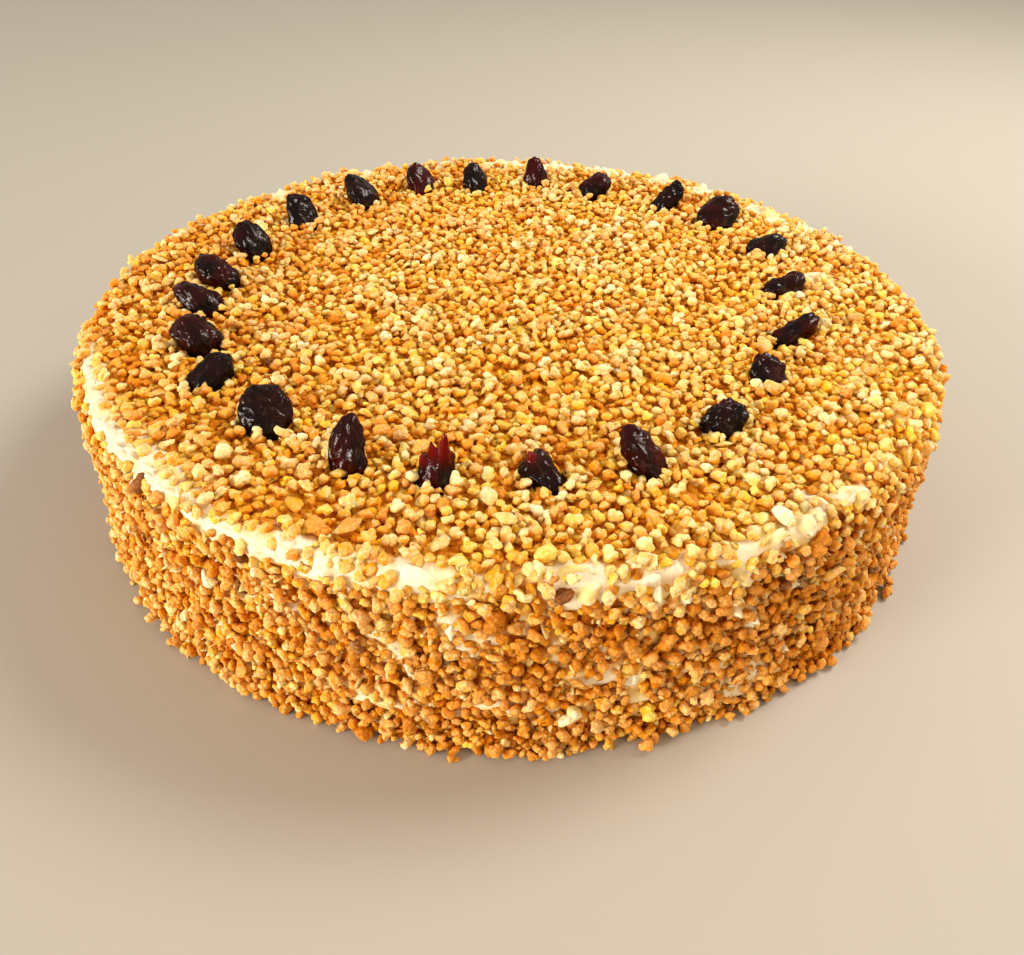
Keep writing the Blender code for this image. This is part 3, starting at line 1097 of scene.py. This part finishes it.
class Roast(Enum):
    """How far the sugar and nuts were roasted. Each is a piece of its own."""

    # Each roast's colours: its sugary tips, paler also as a painted highlight; its body; and the painted
    # shade of its hollows and its foot.
    IVORY = BrittleFinish("ivory_nut_brittle", "#FFF3DA", "#FBDF9A", "#F4B21C")
    YELLOW = BrittleFinish("clear_yellow_brittle", "#FFEA9C", "#FFC634", "#F8A400", gloss=0.25)
    STRAW = BrittleFinish("straw_nut_brittle", "#FFECC8", "#FBCD62", "#F4A802")
    FLAXEN = BrittleFinish("flaxen_nut_brittle", "#FFE4BC", "#F7C24C", "#F2A000")
    GOLDEN = BrittleFinish("golden_nut_brittle", "#FFDCB0", "#F3B338", "#EC9600")
    HONEY = BrittleFinish("honey_nut_brittle", "#FECF98", "#EAA324", "#E28800")
    AMBER = BrittleFinish("amber_nut_brittle", "#F4B66C", "#DA8C10", "#CE7600")
    TAN = BrittleFinish("tan_nut_brittle", "#DC9A40", "#C67C06", "#B46600")
    BROWN = BrittleFinish("brown_nut_brittle", "#A86C3A", "#7A481C", "#563002")

    @property
    def piece_name(self) -> str:
        """The name of the piece that holds every crumb of this roast."""
        return f"brittle_{self.name.lower()}"


ROAST_STEPS = (
    (0.14, Roast.IVORY),
    (0.29, Roast.STRAW),
    (0.40, Roast.FLAXEN),
    (0.52, Roast.GOLDEN),
    (0.645, Roast.HONEY),
    (0.82, Roast.AMBER),
    (1.02, Roast.TAN),
)


class Grade(NamedTuple):
    """One sieving of crumbs, laid in one pass. Sizes in millimetres."""

    build: Build
    smallest: float
    largest: float
    tries: int
    spacing: float  # least distance between middles, as a share of the half breadths together
    lift: tuple[float, float]  # of the middle over the cream, as shares of the size
    stack_mm: float = 0.0  # further lift, for crumbs that lie on others
    lean: float = 0.3  # how far they are tipped over, in radians
    on_side: float = 1.0  # share of them that holds on the side
    foot_mm: float = 0.0  # laid only within this much of the foot


BED_GRADES = (Grade(Build.BEDDED, 3.0, 4.0, 75000, 0.66, (0.06, 0.30)),)
UPPER_GRADES = (
    Grade(Build.FLAKE, 3.8, 5.2, 240, 1.05, (0.28, 0.40), 1.1, 0.45),
    Grade(Build.CLUSTER, 3.7, 4.6, 1300, 0.96, (0.28, 0.40), 1.1, 0.45),
    Grade(Build.CHUNK, 3.1, 3.9, 9000, 0.92, (0.28, 0.42), 1.1, 0.45),
    Grade(Build.NUGGET, 2.5, 3.2, 22000, 0.88, (0.30, 0.50), 1.1, 0.45),
    Grade(Build.CHIP, 1.9, 2.4, 26000, 0.90, (0.30, 0.70), 1.1, 0.45),
)
LOOSE_GRADES = (
    Grade(Build.CLUSTER, 3.6, 4.6, 500, 2.2, (0.30, 0.45), 1.8, 0.7, 0.1),
    Grade(Build.NUGGET, 2.6, 3.6, 1500, 2.2, (0.30, 0.50), 1.8, 0.7, 0.1),
)
FOOT_GRADES = (
    Grade(Build.CLUSTER, 3.8, 5.0, 90, 1.3, (0.40, 0.60), 1.2, 0.7, 1.0, 6.0),
    Grade(Build.NUGGET, 2.6, 3.8, 300, 1.3, (0.40, 0.80), 1.2, 0.7, 1.0, 5.0),
)


class MarkedCrumb(NamedTuple):
    """A crumb that stands out in the photograph. Degrees from +X, and millimetres."""

    bearing: float
    below: float  # along the coat from the rim's corner
    size: float
    build: Build
    roast: Roast
    tint: float = 0.6


MARKED_CRUMBS = (
    MarkedCrumb(227.6, 1.2, 4.4, Build.CHUNK, Roast.BROWN, 0.9),
    MarkedCrumb(237.4, 18.0, 5.2, Build.CHUNK, Roast.IVORY, 1.0),
    MarkedCrumb(284.8, -1.0, 3.6, Build.CHIP, Roast.YELLOW, 0.4),
    MarkedCrumb(273.3, -5.0, 4.8, Build.NUGGET, Roast.YELLOW, 0.6),
    MarkedCrumb(279.7, -4.4, 4.2, Build.CHUNK, Roast.STRAW, 0.6),
    MarkedCrumb(257.8, 14.0, 5.2, Build.FLAKE, Roast.GOLDEN),
    MarkedCrumb(254.0, 9.8, 4.6, Build.FLAKE, Roast.FLAXEN),
    MarkedCrumb(329.8, -1.6, 5.2, Build.CHUNK, Roast.YELLOW, 0.5),
    MarkedCrumb(327.6, 2.4, 5.6, Build.CHUNK, Roast.YELLOW, 0.1),
    MarkedCrumb(299.1, -3.4, 5.4, Build.NUGGET, Roast.IVORY, 0.9),
    MarkedCrumb(231.6, -15.0, 5.0, Build.CHUNK, Roast.STRAW, 0.8),
    MarkedCrumb(237.5, -11.0, 5.2, Build.CHUNK, Roast.STRAW, 0.8),
    MarkedCrumb(276.2, 43.0, 6.0, Build.CHUNK, Roast.IVORY, 0.3),
    MarkedCrumb(302.3, 3.4, 5.6, Build.CLUSTER, Roast.TAN, 0.5),
    MarkedCrumb(284.9, 45.8, 5.0, Build.CHUNK, Roast.YELLOW, 0.1),
    MarkedCrumb(214.1, -46.2, 3.6, Build.CHUNK, Roast.BROWN, 0.5),
    MarkedCrumb(252.7, -7.5, 6.4, Build.FLAKE, Roast.AMBER, 0.9),
    MarkedCrumb(249.8, -5.6, 5.4, Build.CHUNK, Roast.AMBER, 0.3),
    MarkedCrumb(266.8, -24.3, 5.0, Build.CHUNK, Roast.FLAXEN, 0.9),
    MarkedCrumb(274.9, 2.4, 4.2, Build.NUGGET, Roast.BROWN, 0.9),
    MarkedCrumb(277.5, 4.8, 4.0, Build.CLUSTER, Roast.TAN, 0.2),
    MarkedCrumb(268.5, 8.7, 5.6, Build.CHUNK, Roast.TAN, 0.2),
    MarkedCrumb(262.7, -6.8, 5.4, Build.FLAKE, Roast.GOLDEN, 0.9),
)


class Crumb(NamedTuple):
    """One crumb in its place."""

    foot: np.ndarray  # the place on the coat under it
    normal: np.ndarray
    lift: float
    size: float
    lean: float  # how far it is tipped over, in radians
    build: Build
    roast: Roast
    tint: float
    smeared: float


class Ground:
    """The places taken so far, in cells no smaller than the widest gap that is kept."""

    def __init__(self, cell: float) -> None:
        """Starts with no place taken."""
        self.cell = cell
        self.taken: dict[tuple[int, int, int], list[tuple[float, float, float, float]]] = {}

    def take(self, point: np.ndarray, size: float, spacing: float) -> bool:
        """Takes a place for a crumb if there is room for it.

        Args:
            point: where it would go.
            size: its breadth.
            spacing: least distance between middles, as a share of the half breadths together.

        Returns:
            Whether it was laid.
        """
        x, y, z = (float(value) for value in point)
        key = (int(x // self.cell), int(y // self.cell), int(z // self.cell))
        for i, j, k in product((-1, 0, 1), repeat=3):
            for ox, oy, oz, other in self.taken.get((key[0] + i, key[1] + j, key[2] + k), ()):
                gap = spacing * 0.5 * (size + other)
                if (x - ox) ** 2 + (y - oy) ** 2 + (z - oz) ** 2 < gap * gap:
                    return False
        self.taken.setdefault(key, []).append((x, y, z, size))
        return True


@dataclass
class BrittleCoat:
    """The brittle that the cake was rolled in: thousands of crumbs, largest first, close but uneven."""

    skin: Skin
    bareness: Bareness
    cherries: list[BVHTree]
    cherry_middles: list[Vector]
    mould: CrumbMould = CrumbMould()
    shapes_each: int = 12
    heap: float = 1.4 * MM  # how much thicker the brittle lies in places
    heap_mm: float = 10.0
    proud: float = 1.0 * MM  # how much higher crumbs lie on a bare patch
    stack: tuple[float, float] = (0.7, 1.3)  # how unevenly they lie on others
    stretch: tuple[float, float] = (0.80, 1.22)
    tallest: float = 4.8 * MM  # height over the cream at which crumbs are palest; below it the material paints shade on them
    level: float = 0.40  # the top's usual roast, among the steps above
    side_shade: float = 0.27  # how much darker the side's crumbs are painted, as painted shade
    right_shade: float = 0.11  # and its right more than its left, as painted shade
    level_spread: float = 0.14
    toast: float = 0.08  # how much further crumbs are roasted where the toast is 1
    toast_mm: float = 22.0
    painted_shade_left_back: tuple[float, float] = (1.6, 0.7)  # how much darker the top's crumbs are painted at its left and its back, as painted shade
    clear: tuple[float, float] = (0.03, 0.02)  # share of clear crumbs, and how many fewer on the side
    smeared: float = 0.6  # of a crumb beside cream
    shed: float = 6.0  # how steeply crumbs that don't hold on the side thin out down it
    marked_lift: tuple[float, float] = (0.36, 1.4 * MM)  # a share of a marked crumb's size, and more
    marked_lean: float = 0.2
    marked_spacing: float = 0.5
    barely_smeared: float = 0.1  # marked crumbs, and those heaped against a cherry
    cherry_reach: float = 16 * MM
    cherry_gap: float = 0.26  # least distance from a cherry, as a share of the size
    crowd_tries: int = 90  # for each cherry
    crowd_reach: tuple[float, float] = (3.0, 12.0)  # from a cherry's middle, in millimetres
    crowd_size: tuple[float, float] = (2.2, 4.2)
    crowd_lift: tuple[float, float] = (2.2, 4.0)
    crowd_nearest: float = 0.15  # from a cherry's skin, as a share of the size
    crowd_furthest: float = 2.4 * MM
    crowd_lean: float = 0.5
    crowd_spacing: float = 0.95
    crowd_chunk: float = 3.2 * MM  # size above which they are chunks
    seed: int = 11

    def roast_at(self, side: float, bearing: float, toast: float, draw: random.Random) -> Roast:
        """Picks a crumb's roast.

        Args:
            side: 0 on the top, 1 down the side, where the crumbs are painted darker as shade.
            bearing: angle from +X; the right side is painted darker than the left, as shade.
            toast: how dark the crumbs are hereabouts, about -1 to 1, with the painted shade of the top's
                left and back added.
            draw: the seeded source of every random choice.

        Returns:
            The roast.
        """
        # Painted shade: crumbs of the side, and of its right most, get darker roasts.
        darker = (self.side_shade + self.right_shade * math.cos(bearing + 0.2)) * side
        level = draw.gauss(self.level + darker + self.toast * toast, self.level_spread)
        if draw.random() < self.clear[0] - self.clear[1] * side:
            return Roast.YELLOW
        for limit, roast in ROAST_STEPS:
            if level < limit:
                return roast
        return Roast.BROWN

    def clearance(self, tree: BVHTree, place: Vector) -> float:
        """How far a place is from a cherry's surface, below 0 inside it."""
        found, normal, _, distance = tree.find_nearest(place)
        return -distance if (place - found).dot(normal) < 0 else distance

    def in_cherry(self, place: Vector, size: float) -> bool:
        """Whether a crumb of this size would stand in a cherry."""
        return any(
            self.clearance(tree, place) < self.cherry_gap * size
            for middle, tree in zip(self.cherry_middles, self.cherries)
            if (place - middle).length < self.cherry_reach
        )

    def marked(self, ground: Ground) -> Iterator[Crumb]:
        """Lays the crumbs that stand out in the photograph."""
        for mark in MARKED_CRUMBS:
            run = np.array([self.skin.rim_run + mark.below * MM])
            (point,), (normal,) = self.skin.spots(run, np.array([math.radians(mark.bearing)]))
            size = mark.size * MM
            lift = self.marked_lift[0] * size + self.marked_lift[1]
            ground.take(point + normal * lift, size, self.marked_spacing)
            kind = (mark.build, mark.roast, mark.tint, self.barely_smeared)
            yield Crumb(point, normal, lift, size, self.marked_lean, *kind)

    def lay(self, grades: tuple[Grade, ...], seed: int) -> Iterator[Crumb]:
        """Lays crumbs of several grades, each where it finds room among those before it.

        Args:
            grades: the grades, largest first.
            seed: for every random choice.

        Yields:
            The crumbs.
        """
        draw = random.Random(seed)
        numbers = np.random.default_rng(seed)
        ground = Ground(max(grade.spacing * grade.largest for grade in grades) * MM)
        if grades is UPPER_GRADES:
            yield from self.marked(ground)
        for grade in grades:
            run, bearing = self.skin.drawn(grade.tries, numbers)
            if grade.foot_mm:
                run = self.skin.foot_run - numbers.random(grade.tries) * grade.foot_mm * MM
            points, normals = self.skin.spots(run, bearing)
            points = points + normals * self.skin.form.wave_at(points)[:, None]
            bare, smear, near = self.bareness.cover(run, bearing, points)
            heap = self.heap * smoothstep(-0.25, 0.5, noise_at(points, self.heap_mm, seed=70.0))
            specks = self.bareness.specks(run, points)
            side = self.skin.side(run)
            left, back = np.maximum(0.0, points[:, :2] * (-1.0, 1.0)).T / self.skin.form.radius
            # Painted shade: the top's left and back get darker roasts, where less light falls.
            painted_shade_left_back = (self.painted_shade_left_back[0] * left + self.painted_shade_left_back[1] * back) * (1 - side)
            toast = noise_at(points, self.toast_mm, seed=40.0) + painted_shade_left_back
            stack = grade.stack_mm * MM
            for i in range(grade.tries):
                size = draw.uniform(grade.smallest, grade.largest) * MM
                if draw.random() < bare[i] * (1 - smear[i]):
                    continue
                if draw.random() > grade.on_side ** (self.shed * side[i]):
                    continue
                level = stack + size * 0.5 * (grade.lift[0] + grade.lift[1])
                if not ground.take(points[i] + normals[i] * level, size, grade.spacing):
                    continue
                lift = size * draw.uniform(*grade.lift) + stack * draw.uniform(*self.stack)
                lift += heap[i] + self.proud * bare[i]
                if self.in_cherry(Vector(points[i] + normals[i] * lift), size):
                    continue
                lean = draw.gauss(0, grade.lean)
                roast = self.roast_at(side[i], bearing[i], toast[i], draw)
                smeared = max(0.05, self.smeared * specks[i], self.smeared * near[i])
                tint = draw.random()
                yield Crumb(points[i], normals[i], lift, size, lean, grade.build, roast, tint, smeared)

    def crowd(self, seed: int) -> Iterator[Crumb]:
        """Heaps crumbs against the cherries, so that each stands bedded among them.

        Args:
            seed: for every random choice.

        Yields:
            The crumbs.
        """
        draw = random.Random(seed)
        ground = Ground(5 * MM)
        for middle, tree in zip(self.cherry_middles, self.cherries):
            for _ in range(self.crowd_tries):
                turn, reach = draw.uniform(0, 2 * math.pi), draw.uniform(*self.crowd_reach) * MM
                x, y = middle.x + reach * math.cos(turn), middle.y + reach * math.sin(turn)
                run, bearing = np.array([math.hypot(x, y)]), np.array([math.atan2(y, x)])
                (point,), (normal,) = self.skin.spots(run, bearing)
                size = draw.uniform(*self.crowd_size) * MM
                lift = draw.uniform(*self.crowd_lift) * MM
                place = Vector(point + normal * lift)
                if not self.crowd_nearest * size < self.clearance(tree, place) < self.crowd_furthest:
                    continue
                if self.in_cherry(place, 0.5 * size) or not ground.take(point, size, self.crowd_spacing):
                    continue
                build = Build.CHUNK if size > self.crowd_chunk else Build.NUGGET
                roast = self.roast_at(0.0, 0.0, 0.0, draw)
                lean, tint = draw.gauss(0, self.crowd_lean), draw.random()
                yield Crumb(point, normal, lift, size, lean, build, roast, tint, self.barely_smeared)

    def set_down(self, crumb: Crumb, shape: Shape, draw: random.Random) -> Part:
        """Turns and places one crumb's mesh.

        Args:
            crumb: the crumb.
            shape: its mesh.
            draw: the seeded source of every random choice.

        Returns:
            The mesh in its place, with the numbers that the brittle's material reads.
        """
        spin = Quaternion((0, 0, 1), draw.uniform(0, 2 * math.pi))
        edge = draw.uniform(0, 2 * math.pi)
        tip = Quaternion((math.cos(edge), math.sin(edge), 0), crumb.lean)
        upright = Vector((0, 0, 1)).rotation_difference(Vector(crumb.normal))
        turn = np.array((upright @ tip @ spin).to_matrix())
        stretch = np.array([draw.uniform(*self.stretch) for _ in range(3)])
        vertices = (shape.vertices * stretch * crumb.size) @ turn.T + crumb.normal * crumb.lift
        # How high each point stands over the cream, from 0 to 1. The material paints shade on low points and
        # a highlight on high ones.
        above = np.clip((vertices @ crumb.normal) / self.tallest, 0.0, 1.0)
        vertices = vertices + crumb.foot
        vertices[:, 2] += max(0.0, -float(vertices[:, 2].min()))
        full = np.ones(len(vertices))
        shades = np.column_stack((crumb.tint * full, above, crumb.smeared * full, full))
        return Part(vertices, shape.triangles, shades)

    def build(self) -> list[bpy.types.Object]:
        """Builds and dresses the crumbs, one piece for each roast.

        Returns:
            The pieces.
        """
        shapes = {
            build: self.mould.shapes(build, self.shapes_each, self.seed + number)
            for number, build in enumerate(Build)
        }
        crumbs = []
        for number, grades in enumerate((BED_GRADES, UPPER_GRADES, LOOSE_GRADES, FOOT_GRADES)):
            crumbs += self.lay(grades, self.seed + number)
        crumbs += self.crowd(self.seed + 4)
        draw = random.Random(self.seed + 5)
        pieces = []
        for roast in Roast:
            laid = [crumb for crumb in crumbs if crumb.roast is roast]
            parts = [self.set_down(crumb, draw.choice(shapes[crumb.build]), draw) for crumb in laid]
            pieces.append(dressed_piece(roast.piece_name, "crumb", parts, roast.value.material()))
            LOG.info("%s: %d crumbs", roast.piece_name, len(parts))
        return pieces


# ----------------------------------------------------------------- cherries


class TornTip(NamedTuple):
    """A torn point of a cherry's flesh, pulled out of the top of its skin. Millimetres."""

    place: tuple[float, float]  # seen from above, from the middle of the cherry's box
    pull: tuple[float, float, float]
    width: float


class CherryLook(NamedTuple):
    """How one cherry dried. Lengths in millimetres, shares from 0 to 1."""

    wrinkle: float = 2.2  # distance between wrinkles
    depth: float = 0.45
    stretch: float = 0.45  # below 1 the wrinkles run lengthwise
    waist: float = 0.0  # share by which it is drawn in at its middle
    taper: float = 0.0  # share by which its raised end is narrower, and the other wider
    red: float = 0.15  # share of red flesh that shows through
    bloom: float = 0.3  # olive-brown mottling
    low: float = 0.0  # share of its height by which its top has sunk
    blunt: float = 0.15  # how much fuller its ends are than an egg's
    tips: tuple[TornTip, ...] = ()


TALL_TEAR = (
    TornTip((2.2, 0.0), (0.8, 0.3, 8.0), 1.75),
    TornTip((-0.8, 0.2), (-0.3, 0.2, 4.4), 1.3),
    TornTip((-2.8, 0.0), (-0.6, 0.0, 2.4), 1.1),
)
SHORT_TEAR = (TornTip((-2.8, 0.0), (-0.8, 0.2, 2.2), 1.3),)

# In the order of the nodes, anticlockwise from the cherry at the back.
CHERRY_LOOKS = (
    CherryLook(2.4, 0.60, 0.2, 0.0, 0.25, 0.40, 0.2),
    CherryLook(2.6, 0.60, 0.3, 0.0, 0.15, 0.15, 0.3),
    CherryLook(2.8, 0.65, 0.4, 0.0, 0.15, 0.65, 0.1),
    CherryLook(2.8, 0.60, 0.5, 0.0, 0.20, 0.10, 0.3),
    CherryLook(2.2, 0.50, 0.6, 0.0, 0.05, 0.10, 0.8),
    CherryLook(2.6, 0.60, 0.5, 0.0, 0.05, 0.15, 0.4),
    CherryLook(1.9, 0.55, 0.8, 0.0, 0.0, 0.35, 0.2),
    CherryLook(2.3, 0.70, 0.5, 0.0, 0.10, 0.30, 0.1),
    CherryLook(2.2, 0.70, 0.8, 0.0, 0.0, 0.30, 0.1),
    CherryLook(2.8, 0.80, 0.5, 0.0, 0.0, 0.10, 0.2),
    CherryLook(1.9, 0.60, 0.9, 0.0, 0.0, 0.12, 1.0),
    CherryLook(2.4, 0.80, 0.3, 0.0, 0.10, 0.45, 0.3),
    CherryLook(2.4, 0.70, 0.3, 0.0, 0.15, 0.70, 0.1, 0.28, 0.60, TALL_TEAR),
    CherryLook(2.4, 0.70, 0.5, 0.08, -0.12, 0.16, 0.4, 0.22, 0.80, SHORT_TEAR),
    CherryLook(1.9, 0.80, 0.5, 0.0, 0.05, 0.40, 0.2),
    CherryLook(2.0, 0.95, 0.7, 0.0, 0.0, 0.25, 0.1),
    CherryLook(2.4, 0.75, 0.7, 0.0, 0.0, 0.20, 0.1),
    CherryLook(2.4, 0.65, 0.5, 0.18, 0.0, 0.35, 0.1),
    CherryLook(2.4, 0.75, 0.4, 0.16, 0.0, 0.30, 0.1),
    CherryLook(1.7, 0.65, 0.3, 0.0, 0.0, 0.12, 0.3),
    CherryLook(1.9, 0.50, 0.6, 0.0, 0.0, 0.30, 0.2),
    CherryLook(1.8, 0.70, 0.6, 0.0, 0.0, 0.10, 0.2),
    CherryLook(2.6, 0.65, 0.5, 0.12, 0.0, 0.25, 0.1),
)


@dataclass
class CherryRing:
    """The ring of dried cherries. Each is grown from its own solid, and keeps that solid's form."""

    nodes: dict[str, bpy.types.Object]
    finish: DriedCherryFinish = DriedCherryFinish()
    levels: int = 2
    growth: float = 1.04  # makes up for what smoothing takes off
    waist_reach: float = 0.35  # as a share of the half length
    bend: float = 0.9  # how far the wrinkles wander, in millimetres
    bend_mm: float = 4.0
    fold: float = 0.45  # part of a fold's height that lies under the skin
    crease: float = 0.22
    creased: float = 0.6  # depth of the fine creases beside the folds'
    red_mm: float = 6.0

    def names(self) -> list[str]:
        """The cherries' nodes, in order."""
        return sorted(name for name in self.nodes if name.startswith("dried_cherry"))

    def trees(self) -> list[BVHTree]:
        """Each cherry's solid, for keeping crumbs out of it."""
        graph = bpy.context.evaluated_depsgraph_get()
        return [BVHTree.FromObject(self.nodes[name], graph) for name in self.names()]

    def middles(self) -> list[Vector]:
        """The middle of each cherry's box."""
        return [(low + high) / 2 for low, high in (map(Vector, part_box(name)) for name in self.names())]

    def smooth(self, node: bpy.types.Object) -> tuple[np.ndarray, np.ndarray]:
        """A rounder copy of a cherry's solid: its vertices and triangles."""
        shape = bmesh.new()
        shape.from_mesh(node.data)
        bmesh.ops.remove_doubles(shape, verts=shape.verts, dist=1e-6)
        helper = helper_object(shape, "smoothed")
        rounding = helper.modifiers.new("round", "SUBSURF")
        rounding.levels = rounding.render_levels = self.levels
        return evaluated_mesh(helper)

    def wrinkled(
        self, vertices: np.ndarray, triangles: np.ndarray, look: CherryLook, seed: int
    ) -> np.ndarray:
        """Shrinks a smooth cherry's skin into wrinkles.

        Args:
            vertices: the smooth cherry.
            triangles: its triangles.
            look: how it dried.
            seed: its own number.

        Returns:
            The moved vertices.
        """
        middle = vertices.mean(axis=0)
        spread = vertices - middle
        axes = np.linalg.svd(spread, full_matrices=False)[2]
        axes[0] *= 1 if axes[0][2] >= 0 else -1
        local = spread @ axes.T
        along = local[:, 0] / np.abs(local[:, 0]).max()
        waist = look.waist * np.exp(-((along / self.waist_reach) ** 2))
        local[:, 1:] *= (1 - waist - look.taper * along + look.blunt * along**2)[:, None]
        moved = middle + (local * self.growth) @ axes
        foot = moved[:, 2].min()
        moved[:, 2] = foot + (moved[:, 2] - foot) * (1 - look.low)
        shift = 17.3 * seed
        bends = [noise_at(local, self.bend_mm, shift + 5 * i) for i in range(3)]
        bent = local / MM + self.bend * np.column_stack(bends)
        squeezed = bent * np.array([look.stretch, 1.0, 1.0]) * MM
        folds = np.abs(noise_at(squeezed, look.wrinkle, shift)) * 2 - self.fold
        creases = np.abs(noise_at(squeezed, look.wrinkle * 0.5, shift + 31)) - self.crease
        depth = look.depth * MM * (folds + self.creased * creases)
        return moved + normals_of(moved, triangles) * depth[:, None]

    def torn(
        self, vertices: np.ndarray, name: str, tips: tuple[TornTip, ...]
    ) -> tuple[np.ndarray, np.ndarray]:
        """Pulls a cherry's torn tips out of its skin.

        Args:
            vertices: the wrinkled cherry.
            name: its node, whose box the tips are placed by.
            tips: the tips.

        Returns:
            The moved vertices, and how torn the skin is at each, from 0 to 1.
        """
        low, high = (np.array(corner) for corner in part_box(name))
        open_to = np.zeros(len(vertices))
        for tip in tips:
            place = 0.5 * (low + high)[:2] + np.array(tip.place) * MM
            beside = np.linalg.norm(vertices[:, :2] - place, axis=1)
            root = vertices[np.argmax(vertices[:, 2] - 4 * beside)]
            away = np.linalg.norm(vertices - root, axis=1) / (tip.width * MM)
            share = np.exp(-(away**2))
            vertices = vertices + np.array(tip.pull) * MM * share[:, None]
            open_to = np.maximum(open_to, np.minimum(1.0, 1.5 * share))
        return vertices, open_to

    def build(self) -> list[bpy.types.Object]:
        """Builds and dresses the cherries, and hides their solids.

        Returns:
            The pieces.
        """
        material = self.finish.material()
        pieces = []
        for number, (name, look) in enumerate(zip(self.names(), CHERRY_LOOKS, strict=True), start=1):
            vertices, triangles = self.smooth(self.nodes[name])
            vertices = self.wrinkled(vertices, triangles, look, number)
            vertices, torn = self.torn(vertices, name, look.tips)
            show = 1.3 * noise_at(vertices, self.red_mm, 3.1 * number)
            red = np.clip(look.red + show * (0.3 + look.red), 0.0, 1.0) * (0.4 + 0.6 * look.red)
            shades = np.column_stack((red, np.full(len(red), look.bloom), torn, np.ones(len(red))))
            skin_name = name.replace("dried_cherry", "cherry_skin")
            piece = dressed_piece(skin_name, "fruit", [Part(vertices, triangles, shades)], material)
            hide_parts(name)
            pieces.append(piece)
        return pieces


# ------------------------------------------------------------------- studio


@dataclass(frozen=True)
class AreaLight:
    """A soft light: where it hangs, its width and its power. It faces the cake."""

    name: str
    place: tuple[float, float, float]
    width: float
    power: float
    colour: str = "#FFFFFF"


@dataclass
class Studio:
    """The floor, the lights and the camera."""

    floor_half: float = 6.0
    target: tuple[float, float, float] = (0.0, 0.0, 0.03)
    world: str = "#F4EBDC"
    world_strength: float = 0.66
    camera_place: tuple[float, float, float] = (-0.0023, -0.2531, 0.1865)
    yaw: float = 0.85  # to the right of +Y, in degrees
    pitch: float = 39.53  # down
    roll: float = 1.38
    lens: float = 28.76  # in millimetres, as is the sensor's width
    sensor: float = 36.0
    nearest: float = 0.01
    lights: tuple[AreaLight, ...] = (
        AreaLight("window_left", (-1.98, -1.30, 0.56), 1.00, 50.0, "#FFF9F2"),
        AreaLight("window_above", (0.64, 0.28, 0.84), 0.45, 7.5, "#FFF9F0"),
        AreaLight("fill_right", (0.95, -0.90, 0.55), 0.80, 2.8, "#FFD698"),
    )

    def floor(self) -> None:
        """Lays the floor."""
        half = self.floor_half
        corners = np.array([(-half, -half, 0.0), (half, -half, 0.0), (half, half, 0.0), (-half, half, 0.0)])
        board = mesh_object("floor", corners, np.array([(0, 1, 2), (0, 2, 3)]))
        board.data.materials.append(BoardFinish().material())

    def light(self) -> None:
        """Hangs the lights and sets the world's soft glow."""
        for lamp in self.lights:
            data = bpy.data.lights.new(lamp.name, "AREA")
            data.shape = "DISK"
            data.size = lamp.width
            data.energy = lamp.power
            data.color = linear(lamp.colour)[:3]
            hung = scene_object(lamp.name, data)
            hung.location = lamp.place
            aim = Vector(self.target) - Vector(lamp.place)
            hung.rotation_euler = aim.to_track_quat("-Z", "Y").to_euler()
        world = bpy.data.worlds.new("studio")
        world.use_nodes = True
        glow = {"Color": linear(self.world), "Strength": self.world_strength}
        set_inputs(world.node_tree, world.node_tree.nodes["Background"], glow)
        bpy.context.scene.world = world

    def camera(self) -> None:
        """Sets up the camera at the photograph's viewing angle."""
        yaw, pitch, roll = (math.radians(angle) for angle in (self.yaw, self.pitch, self.roll))
        ahead = Vector((math.sin(yaw) * math.cos(pitch), math.cos(yaw) * math.cos(pitch), -math.sin(pitch)))
        right = Vector((math.cos(yaw), -math.sin(yaw), 0.0))
        up = right.cross(ahead)
        tilted_right = right * math.cos(roll) + up * math.sin(roll)
        tilted_up = up * math.cos(roll) - right * math.sin(roll)
        data = bpy.data.cameras.new("camera")
        data.lens = self.lens
        data.sensor_width = self.sensor
        data.sensor_fit = "HORIZONTAL"
        data.clip_start = self.nearest
        eye = scene_object("camera", data)
        turn = Matrix((tilted_right, tilted_up, -ahead)).transposed().to_4x4()
        eye.matrix_world = Matrix.Translation(self.camera_place) @ turn
        bpy.context.scene.camera = eye

    def build(self) -> None:
        """Builds the studio."""
        self.camera()
        self.floor()
        self.light()
        view = bpy.context.scene.view_settings
        view.view_transform = "Standard"
        view.look = "Medium High Contrast"


# --------------------------------------------------------------------- main


def carry(pieces: list[bpy.types.Object], slot: str) -> None:
    """Lets pieces ride on the cake's one body, and reports each with its finish's slot."""
    for piece in pieces:
        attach(piece, "root")
        LOG.info("%s rides on root, slot %s, %d triangles", piece.name, slot, len(piece.data.polygons))


def write_sizes() -> None:
    """Brings the scene up to date."""
    bpy.context.view_layer.update()


def main() -> None:
    """Builds the cake's pieces in order."""
    logging.basicConfig(level=logging.INFO, format="%(message)s")
    Studio().build()
    skin = Skin(CakeForm())
    bareness = Bareness(skin)
    ring = CherryRing(frame["nodes"])
    cream = [CreamCoat(skin, bareness).build(), CreamSmears(skin).build()]
    crumbs = BrittleCoat(skin, bareness, ring.trees(), ring.middles()).build()
    for piece in cream + crumbs:
        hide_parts("cake")
    carry(cream, "buttercream")
    carry(crumbs, "brittle_coat")
    carry(ring.build(), "dried_cherry")
    write_sizes()


if __name__ == "__main__":
    main()
